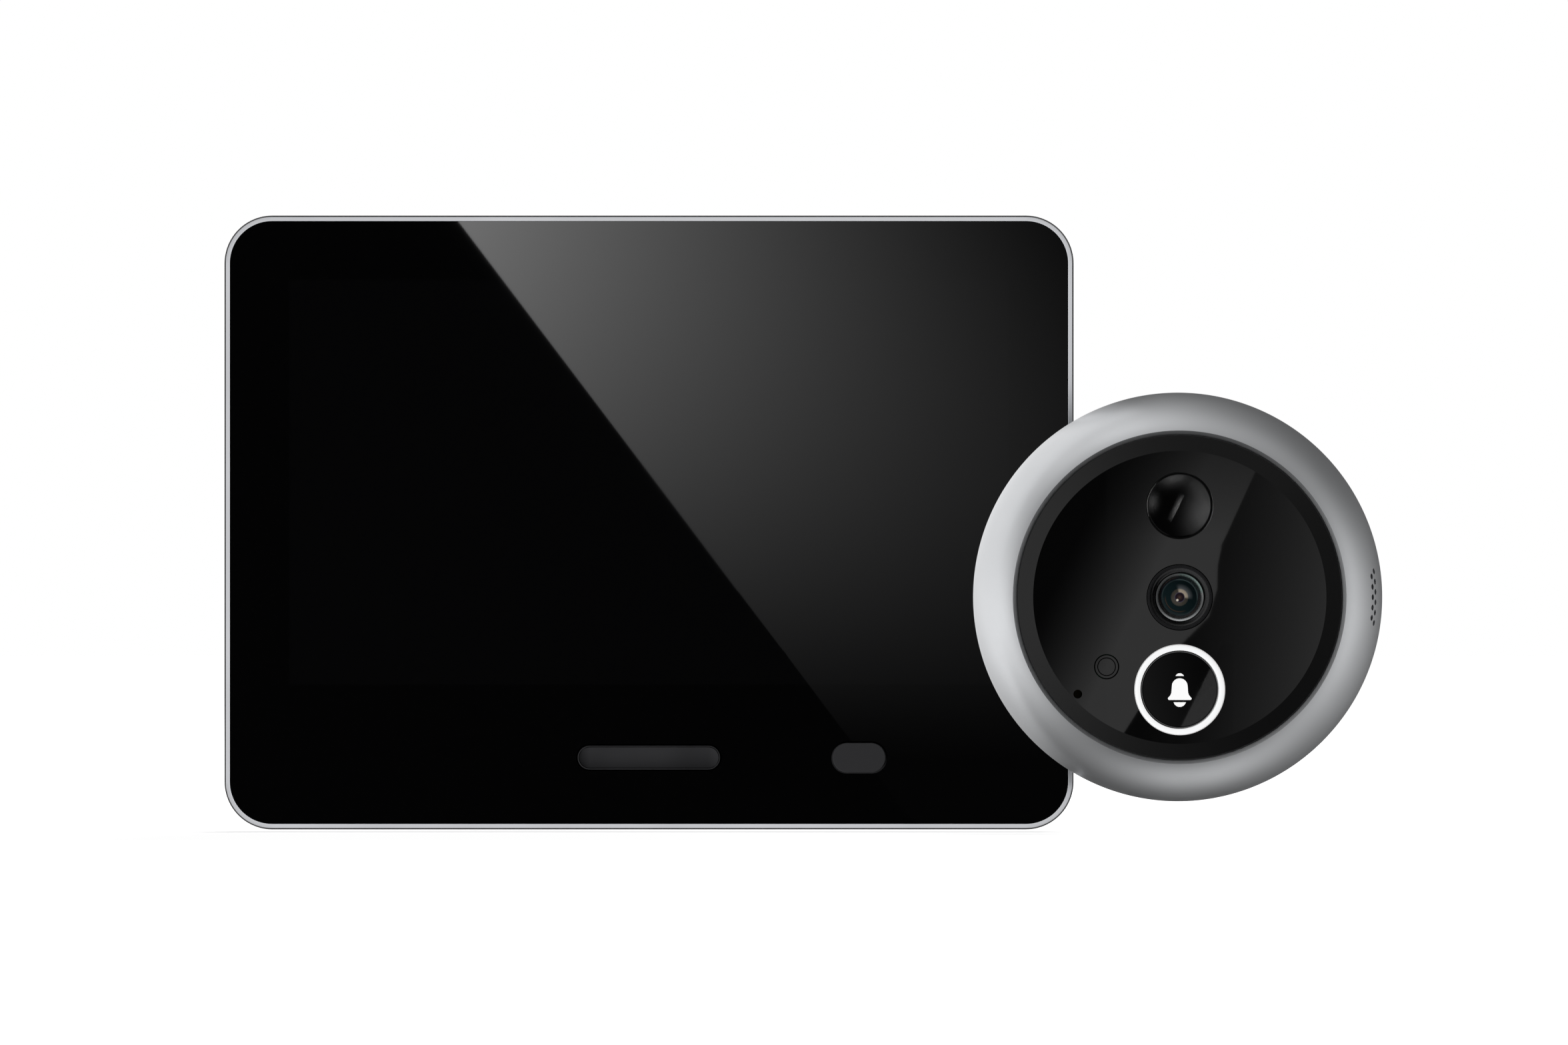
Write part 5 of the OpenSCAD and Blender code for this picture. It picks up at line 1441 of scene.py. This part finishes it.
class DOORCAM_OT_motion_dome(bpy.types.Operator):
    """Spins the motion sensor's dome with its clamp flange"""
    bl_idname = "doorcam.motion_dome"
    bl_label = "Motion dome"

    def execute(self, context):
        sizes = context.scene.bell_sizes
        dome = spot("pir_lens")
        height = dome.back - dome.front
        r = dome.half_w - sizes.flange
        rise = sizes.dome_rise
        ball = (r ** 2 + rise ** 2) / (2 * rise)
        middle = height - ball
        rim = math.degrees(math.asin((height - rise - middle) / ball))
        wall = sizes.dome_wall
        inner_rim = math.degrees(math.acos((r - wall) / (ball - wall)))
        profile = arc(0, middle, ball, 90, rim, 40)
        profile += [(r, sizes.flange_depth), (dome.half_w, sizes.flange_depth),
                    (dome.half_w, 0), (r - wall, 0)]
        profile += arc(0, middle, ball - wall, inner_rim, 90, 24)
        piece = turned("motion_dome_cap", "pir_lens", profile, False)
        settle(piece, "door_mount", "pir_black", "pir_lens")
        return {"FINISHED"}


class DOORCAM_OT_lens(bpy.types.Operator):
    """Models the lens shroud, the lens barrel and the front glass"""
    bl_idname = "doorcam.lens"
    bl_label = "Camera lens"

    def execute(self, context):
        sizes = context.scene.lens_sizes
        self.shroud(sizes, context.scene.bell_sizes)
        self.barrel(sizes)
        self.front_glass(sizes)
        return {"FINISHED"}

    def shroud(self, sizes, bell):
        """The stepped ring between the window and the lens."""
        shroud = spot("lens_shroud")
        top = shroud.back - shroud.front
        groove = sizes.crest - (sizes.crest - sizes.funnel) / 2
        profile = [(sizes.shroud_bore, 0), (shroud.half_w, 0), (shroud.half_w, bell.flange_depth),
                   (sizes.neck, bell.flange_depth), (sizes.neck, top), (sizes.crest, top),
                   (groove, top - sizes.groove_depth), (sizes.funnel, top - sizes.groove_depth),
                   (sizes.throat, top - sizes.throat_depth), (sizes.shroud_bore, top - sizes.throat_depth)]
        piece = turned("lens_shroud_ring", "lens_shroud", profile)
        soften(piece, sizes.shroud_edge, 2)
        settle(piece, "door_mount", "lens_black", "lens_shroud")

    def barrel(self, sizes):
        """The lens barrel with its bright lip and its baffle cone."""
        barrel = spot("lens_barrel")
        length_of = barrel.back - barrel.front
        r = barrel.half_w
        bore = r - sizes.barrel_lip
        seat = length_of - sizes.glass_seat
        cone = seat - sizes.cone_depth
        edge = sizes.lip_edge
        profile = [(sizes.rear_bore, 0), (r, 0), (r, length_of - edge), (r - edge, length_of),
                   (r - sizes.lip_band, length_of - sizes.lip_fall),
                   (bore, length_of - sizes.lip_fall - sizes.lip_drop), (bore, seat)]
        for i in range(sizes.baffle_steps):
            far = bore - (bore - sizes.cone_end) * (i + 1) / sizes.baffle_steps
            low = seat - sizes.cone_depth * (i + 1) / sizes.baffle_steps
            profile += [(far, profile[-1][1]), (far, low)]
        inner = cone - sizes.inner_depth
        profile += [(sizes.cone_end, inner), (sizes.iris, inner), (sizes.iris, inner - sizes.iris_depth),
                    (sizes.rear_bore, inner - sizes.iris_depth)]
        piece = turned("lens_barrel_tube", "lens_barrel", profile)
        settle(piece, "door_mount", "lens_black", "lens_barrel")

    def front_glass(self, sizes):
        """The bulging front glass."""
        glass = spot("lens_front_glass")
        bulge = sizes.glass_bulge
        ball = (glass.half_w ** 2 + bulge ** 2) / (2 * bulge)
        middle = sizes.glass_side + bulge - ball
        rim = math.degrees(math.asin((sizes.glass_side - middle) / ball))
        profile = [(0, 0), (glass.half_w, 0)] + arc(0, middle, ball, rim, 90, 32)
        piece = turned("lens_front_dome", "lens_front_glass", profile, False)
        settle(piece, "door_mount", "lens_coating", "lens_front_glass")


class DOORCAM_OT_bell_button(bpy.types.Operator):
    """Models the button's cap with its inlaid symbol, and the light ring round it"""
    bl_idname = "doorcam.bell_button"
    bl_label = "Bell button"

    def execute(self, context):
        sizes = context.scene.bell_sizes
        self.light_ring(sizes)
        self.cap(sizes)
        return {"FINISHED"}

    def light_ring(self, sizes):
        """The light ring with its clamp flange and its thin skirt."""
        ring = spot("light_ring")
        height = ring.back - ring.front
        outer = ring.half_w - sizes.flange
        inner = outer - sizes.ring_width
        shoulder = height - sizes.ring_shoulder
        window = spot("bell_window")
        clamp = ring.back - window.back
        clamp_back = clamp - sizes.flange_depth
        skirt = outer - sizes.ring_skirt
        profile = [(inner, height), (outer, height), (outer, clamp), (ring.half_w, clamp),
                   (ring.half_w, clamp_back), (outer, clamp_back), (outer, 0),
                   (skirt, 0), (skirt, shoulder), (inner, shoulder)]
        piece = turned("light_ring_guide", "light_ring", profile)
        soften(piece, sizes.guide_edge, 2)
        settle(piece, "door_mount", "light_guide", "light_ring")

    def cap(self, sizes):
        """The button's cap, cut out for its symbol."""
        cap = spot("bell_button")
        top = cap.back - cap.front
        r = cap.half_w - sizes.cap_flange
        foot = top - sizes.cap_depth
        edge = sizes.cap_edge
        profile = [(0, 0), (sizes.cap_stem, 0), (sizes.cap_stem, foot - sizes.cap_flange_depth),
                   (cap.half_w, foot - sizes.cap_flange_depth), (cap.half_w, foot), (r, foot)]
        profile += arc(r - edge, top - edge, edge, 0, 90, 3) + [(0, top)]
        piece = turned("bell_button_cap", "bell_button", profile, False)
        inlay = node_copy("inlay", "bell_symbol")
        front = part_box("bell_symbol")[0].y
        edit(inlay)
        bpy.ops.mesh.select_all(action="DESELECT")
        rest()
        for vertex in inlay.data.vertices:
            vertex.select = vertex.co.y < front + 10 * MERGE
        take(inlay)
        bpy.ops.object.mode_set(mode="EDIT")
        bpy.ops.transform.translate(value=(0, -OVERCUT, 0))
        rest()
        combined(piece, inlay, "DIFFERENCE")
        settle(piece, "bell_button", "button_black", "bell_button", limit=15)


class DOORCAM_OT_light_sensor(bpy.types.Operator):
    """Spins the light sensor's lens with its ring groove"""
    bl_idname = "doorcam.light_sensor"
    bl_label = "Light sensor"

    def execute(self, context):
        sizes = context.scene.bell_sizes
        lens = spot("light_sensor_lens")
        height = lens.back - lens.front
        r = lens.half_w
        groove = sizes.sensor_groove
        width = sizes.sensor_groove_width
        profile = [(0, 0), (r, 0), (r, height - width / 2), (r - width / 2, height),
                   (groove + width, height), (groove + width / 2, height - width),
                   (groove, height), (0, height)]
        piece = turned("light_sensor_window", "light_sensor_lens", profile, False, 96)
        settle(piece, "door_mount", "sensor_window", "light_sensor_lens")
        return {"FINISHED"}


# Door side

class DOORCAM_OT_door_bracket(bpy.types.Operator):
    """Softens the stamped bracket and lays the adhesive pads on its back"""
    bl_idname = "doorcam.door_bracket"
    bl_label = "Door bracket"

    def execute(self, context):
        sizes = context.scene.door_sizes
        piece = node_copy("door_bracket_plate", "door_bracket")
        soften(piece, sizes.bracket_edge, 2)
        settle(piece, "door_mount", "bracket_steel", "door_bracket")
        self.pads(sizes)
        return {"FINISHED"}

    def pads(self, sizes):
        """The four adhesive pads, joined into one padded piece."""
        pads = spot("bracket_pads")
        across_pads = pads.half_w - sizes.pad_width / 2
        up_pads = pads.half_h - sizes.pad_height / 2
        made = []
        for x in (-across_pads, across_pads):
            for z in (-up_pads, up_pads):
                made.append(slab("pad", pads.x + x, pads.z + z, sizes.pad_width, sizes.pad_height,
                                 sizes.pad_corner, pads.back, pads.front))
        piece = joined(made)
        piece.name = "adhesive_pads"
        soften(piece, sizes.pad_edge)
        settle(piece, "door_mount", "pad_adhesive", "bracket_pads")


class DOORCAM_OT_clamp_sleeve(bpy.types.Operator):
    """Turns the clamp sleeve with its collar, flange and spanner notches"""
    bl_idname = "doorcam.clamp_sleeve"
    bl_label = "Clamp sleeve"

    def execute(self, context):
        sizes = context.scene.door_sizes
        sleeve = spot("clamp_sleeve")
        depth = sleeve.back - sleeve.front
        bore = sizes.sleeve_bore
        r = bore + sizes.sleeve_wall
        collar = r + sizes.collar_step
        flange = depth - sizes.flange_depth
        chamfer = sizes.sleeve_chamfer
        collar_back = flange - sizes.collar_depth
        profile = [(bore + chamfer / 2, 0), (r - chamfer, 0), (r, chamfer), (r, collar_back),
                   (collar, collar_back), (collar, flange), (sizes.flange_radius, flange),
                   (sizes.flange_radius, depth), (bore, depth), (bore, chamfer / 2)]
        piece = turned("clamp_sleeve_bolt", "clamp_sleeve", profile)
        for quarter in range(4):
            way = Vector((math.cos(quarter * math.pi / 2), 0, math.sin(quarter * math.pi / 2)))
            place = way * (sizes.flange_radius - sizes.notch_depth / 2)
            wide = sizes.notch_depth + 2 * OVERCUT if way.x ** 2 > 0.5 else sizes.notch_width
            high = sizes.notch_width if way.x ** 2 > 0.5 else sizes.notch_depth + 2 * OVERCUT
            notch = slab("notch", sleeve.x + place.x, sleeve.z + place.z, wide, high, OVERCUT / 2,
                         sleeve.front + sizes.flange_depth + OVERCUT, sleeve.front - OVERCUT, 3)
            combined(piece, notch, "DIFFERENCE")
        soften(piece, sizes.turned_edge, 2)
        settle(piece, "clamp_sleeve", "sleeve_metal", "clamp_sleeve")
        return {"FINISHED"}


class DOORCAM_OT_threaded_barrel(bpy.types.Operator):
    """Turns the bell's barrel, winds its thread and adds its seal ring and grommet"""
    bl_idname = "doorcam.threaded_barrel"
    bl_label = "Threaded barrel"

    def execute(self, context):
        sizes = context.scene.door_sizes
        barrel = spot("threaded_barrel")
        depth = barrel.back - barrel.front
        bore = sizes.barrel_bore
        r = sizes.barrel_radius
        root = r - sizes.thread_depth
        chamfer = sizes.sleeve_chamfer
        groove = barrel.back - spot("bell_gasket").back
        flange = depth - sizes.barrel_flange_depth
        shoulder = sizes.thread_length + sizes.thread_depth
        seat = r - sizes.ring_groove
        profile = [(bore, 0), (root - chamfer, 0), (root, chamfer), (root, sizes.thread_length),
                   (r, shoulder), (r, groove), (seat, groove), (seat, flange),
                   (barrel.half_w, flange), (barrel.half_w, depth), (bore, depth)]
        piece = turned("threaded_barrel_tube", "threaded_barrel", profile)
        combined(piece, self.thread(barrel, root, sizes), "UNION")
        settle(piece, "door_mount", "sleeve_metal", "threaded_barrel")

        ring = spot("barrel_o_ring")
        size = (ring.back - ring.front) / 2
        piece = turned("barrel_seal_ring", "barrel_o_ring", arc(ring.half_w - size, size, size, 0, 345, 23))
        settle(piece, "door_mount", "seal_rubber", "barrel_o_ring")
        piece = node_copy("barrel_grommet_plug", "barrel_grommet")
        soften(piece, sizes.grommet_edge, 2)
        settle(piece, "door_mount", "seal_rubber", "barrel_grommet")
        return {"FINISHED"}

    def thread(self, barrel, root, sizes):
        """A closed thread ridge that winds round the barrel."""
        pitch = sizes.thread_pitch
        crest = root + sizes.thread_depth - sizes.turned_edge
        turns = math.floor((sizes.thread_length - sizes.sleeve_chamfer) / pitch) - 1
        start = barrel.back - sizes.sleeve_chamfer - (turns + 1) * pitch
        sunk = root - sizes.turned_edge
        outline = [(sunk, 0.0), (crest, 0.36), (crest, 0.48), (sunk, 0.84)]
        ridge = chain("thread", [(out, start + share * pitch, 0) for out, share in outline])
        rest()
        applied(ridge, "SCREW", axis="Y", screw_offset=pitch, iterations=turns, steps=64, render_steps=64)
        edit(ridge)
        bpy.ops.mesh.remove_doubles(threshold=MERGE)
        bpy.ops.mesh.fill_holes(sides=0)
        bpy.ops.mesh.select_all(action="SELECT")
        bpy.ops.transform.translate(value=(barrel.x, 0, barrel.z))
        return close_up(ridge)


class DOORCAM_OT_bell_back(bpy.types.Operator):
    """Models the foam gasket and smooths the bell's rear cover"""
    bl_idname = "doorcam.bell_back"
    bl_label = "Bell back"

    def execute(self, context):
        sizes = context.scene.door_sizes
        gasket = spot("bell_gasket")
        thick = gasket.back - gasket.front
        edge = sizes.gasket_edge
        hole = sizes.gasket_hole
        profile = arc(gasket.half_w - edge, edge, edge, -90, 0, 4)
        profile += arc(gasket.half_w - edge, thick - edge, edge, 0, 90, 4)
        profile += arc(hole + edge, thick - edge, edge, 90, 180, 4)
        profile += arc(hole + edge, edge, edge, 180, 270, 4)
        piece = turned("bell_foam_gasket", "bell_gasket", profile)
        settle(piece, "door_mount", "foam_black", "bell_gasket")
        piece = node_copy("bell_rear_plate", "bell_rear_cover")
        settle(piece, "door_mount", "bell_plastic", "bell_rear_cover")
        return {"FINISHED"}


class DOORCAM_OT_case_fittings(bpy.types.Operator):
    """Softens the case screws and the reset key"""
    bl_idname = "doorcam.case_fittings"
    bl_label = "Case fittings"

    def execute(self, context):
        sizes = context.scene.monitor_sizes
        for name, node, body, slot in (("case_screw_set", "case_screws", "monitor", "screw_steel"),
                                       ("reset_key_pin", "reset_key", "reset_key", "power_key_grey")):
            piece = node_copy(name, node)
            soften(piece, sizes.fitting_edge, 2)
            settle(piece, body, slot, node)
        return {"FINISHED"}


class DOORCAM_OT_inner_parts(bpy.types.Operator):
    """Gives every solid that stays its own finish"""
    bl_idname = "doorcam.inner_parts"
    bl_label = "Inner parts"

    def execute(self, context):
        for entry in frame["record"]["subparts"]:
            solid = frame["nodes"][entry["node"]]
            material = finish_of(entry["material_slot"])
            if not solid.material_slots:
                solid.data.materials.append(material)
            for slot in solid.material_slots:
                slot.material = material
        return {"FINISHED"}


OPERATORS = (
    DOORCAM_OT_stage,
    DOORCAM_OT_cover_glass,
    DOORCAM_OT_metal_rim,
    DOORCAM_OT_rear_shell,
    DOORCAM_OT_monitor_keys,
    DOORCAM_OT_bell_housing,
    DOORCAM_OT_bell_window,
    DOORCAM_OT_motion_dome,
    DOORCAM_OT_lens,
    DOORCAM_OT_bell_button,
    DOORCAM_OT_light_sensor,
    DOORCAM_OT_door_bracket,
    DOORCAM_OT_clamp_sleeve,
    DOORCAM_OT_threaded_barrel,
    DOORCAM_OT_bell_back,
    DOORCAM_OT_case_fittings,
    DOORCAM_OT_inner_parts,
)


class DOORCAM_PT_pieces(bpy.types.Panel):
    """Lists the pieces of the door camera and their sizes"""
    bl_idname = "DOORCAM_PT_pieces"
    bl_label = "Door Camera"
    bl_space_type = "VIEW_3D"
    bl_region_type = "UI"
    bl_category = "Door Camera"

    def draw(self, context):
        for operator in OPERATORS:
            self.layout.operator(operator.bl_idname)
        for name, group in GROUPS:
            box = self.layout.box()
            for key in group.__annotations__:
                box.prop(getattr(context.scene, name), key)


def register():
    """Registers the property groups, the operators and the panel."""
    for name, group in GROUPS:
        bpy.utils.register_class(group)
        setattr(bpy.types.Scene, name, bpy.props.PointerProperty(type=group))
    for cls in OPERATORS + (DOORCAM_PT_pieces,):
        bpy.utils.register_class(cls)


def unregister():
    """Takes back what register did."""
    for cls in reversed(OPERATORS + (DOORCAM_PT_pieces,)):
        bpy.utils.unregister_class(cls)
    for name, group in reversed(GROUPS):
        delattr(bpy.types.Scene, name)
        bpy.utils.unregister_class(group)


def main():
    """Models every piece in order."""
    register()
    for operator in OPERATORS:
        group, name = operator.bl_idname.split(".")
        getattr(getattr(bpy.ops, group), name)()


if __name__ == "__main__":
    main()
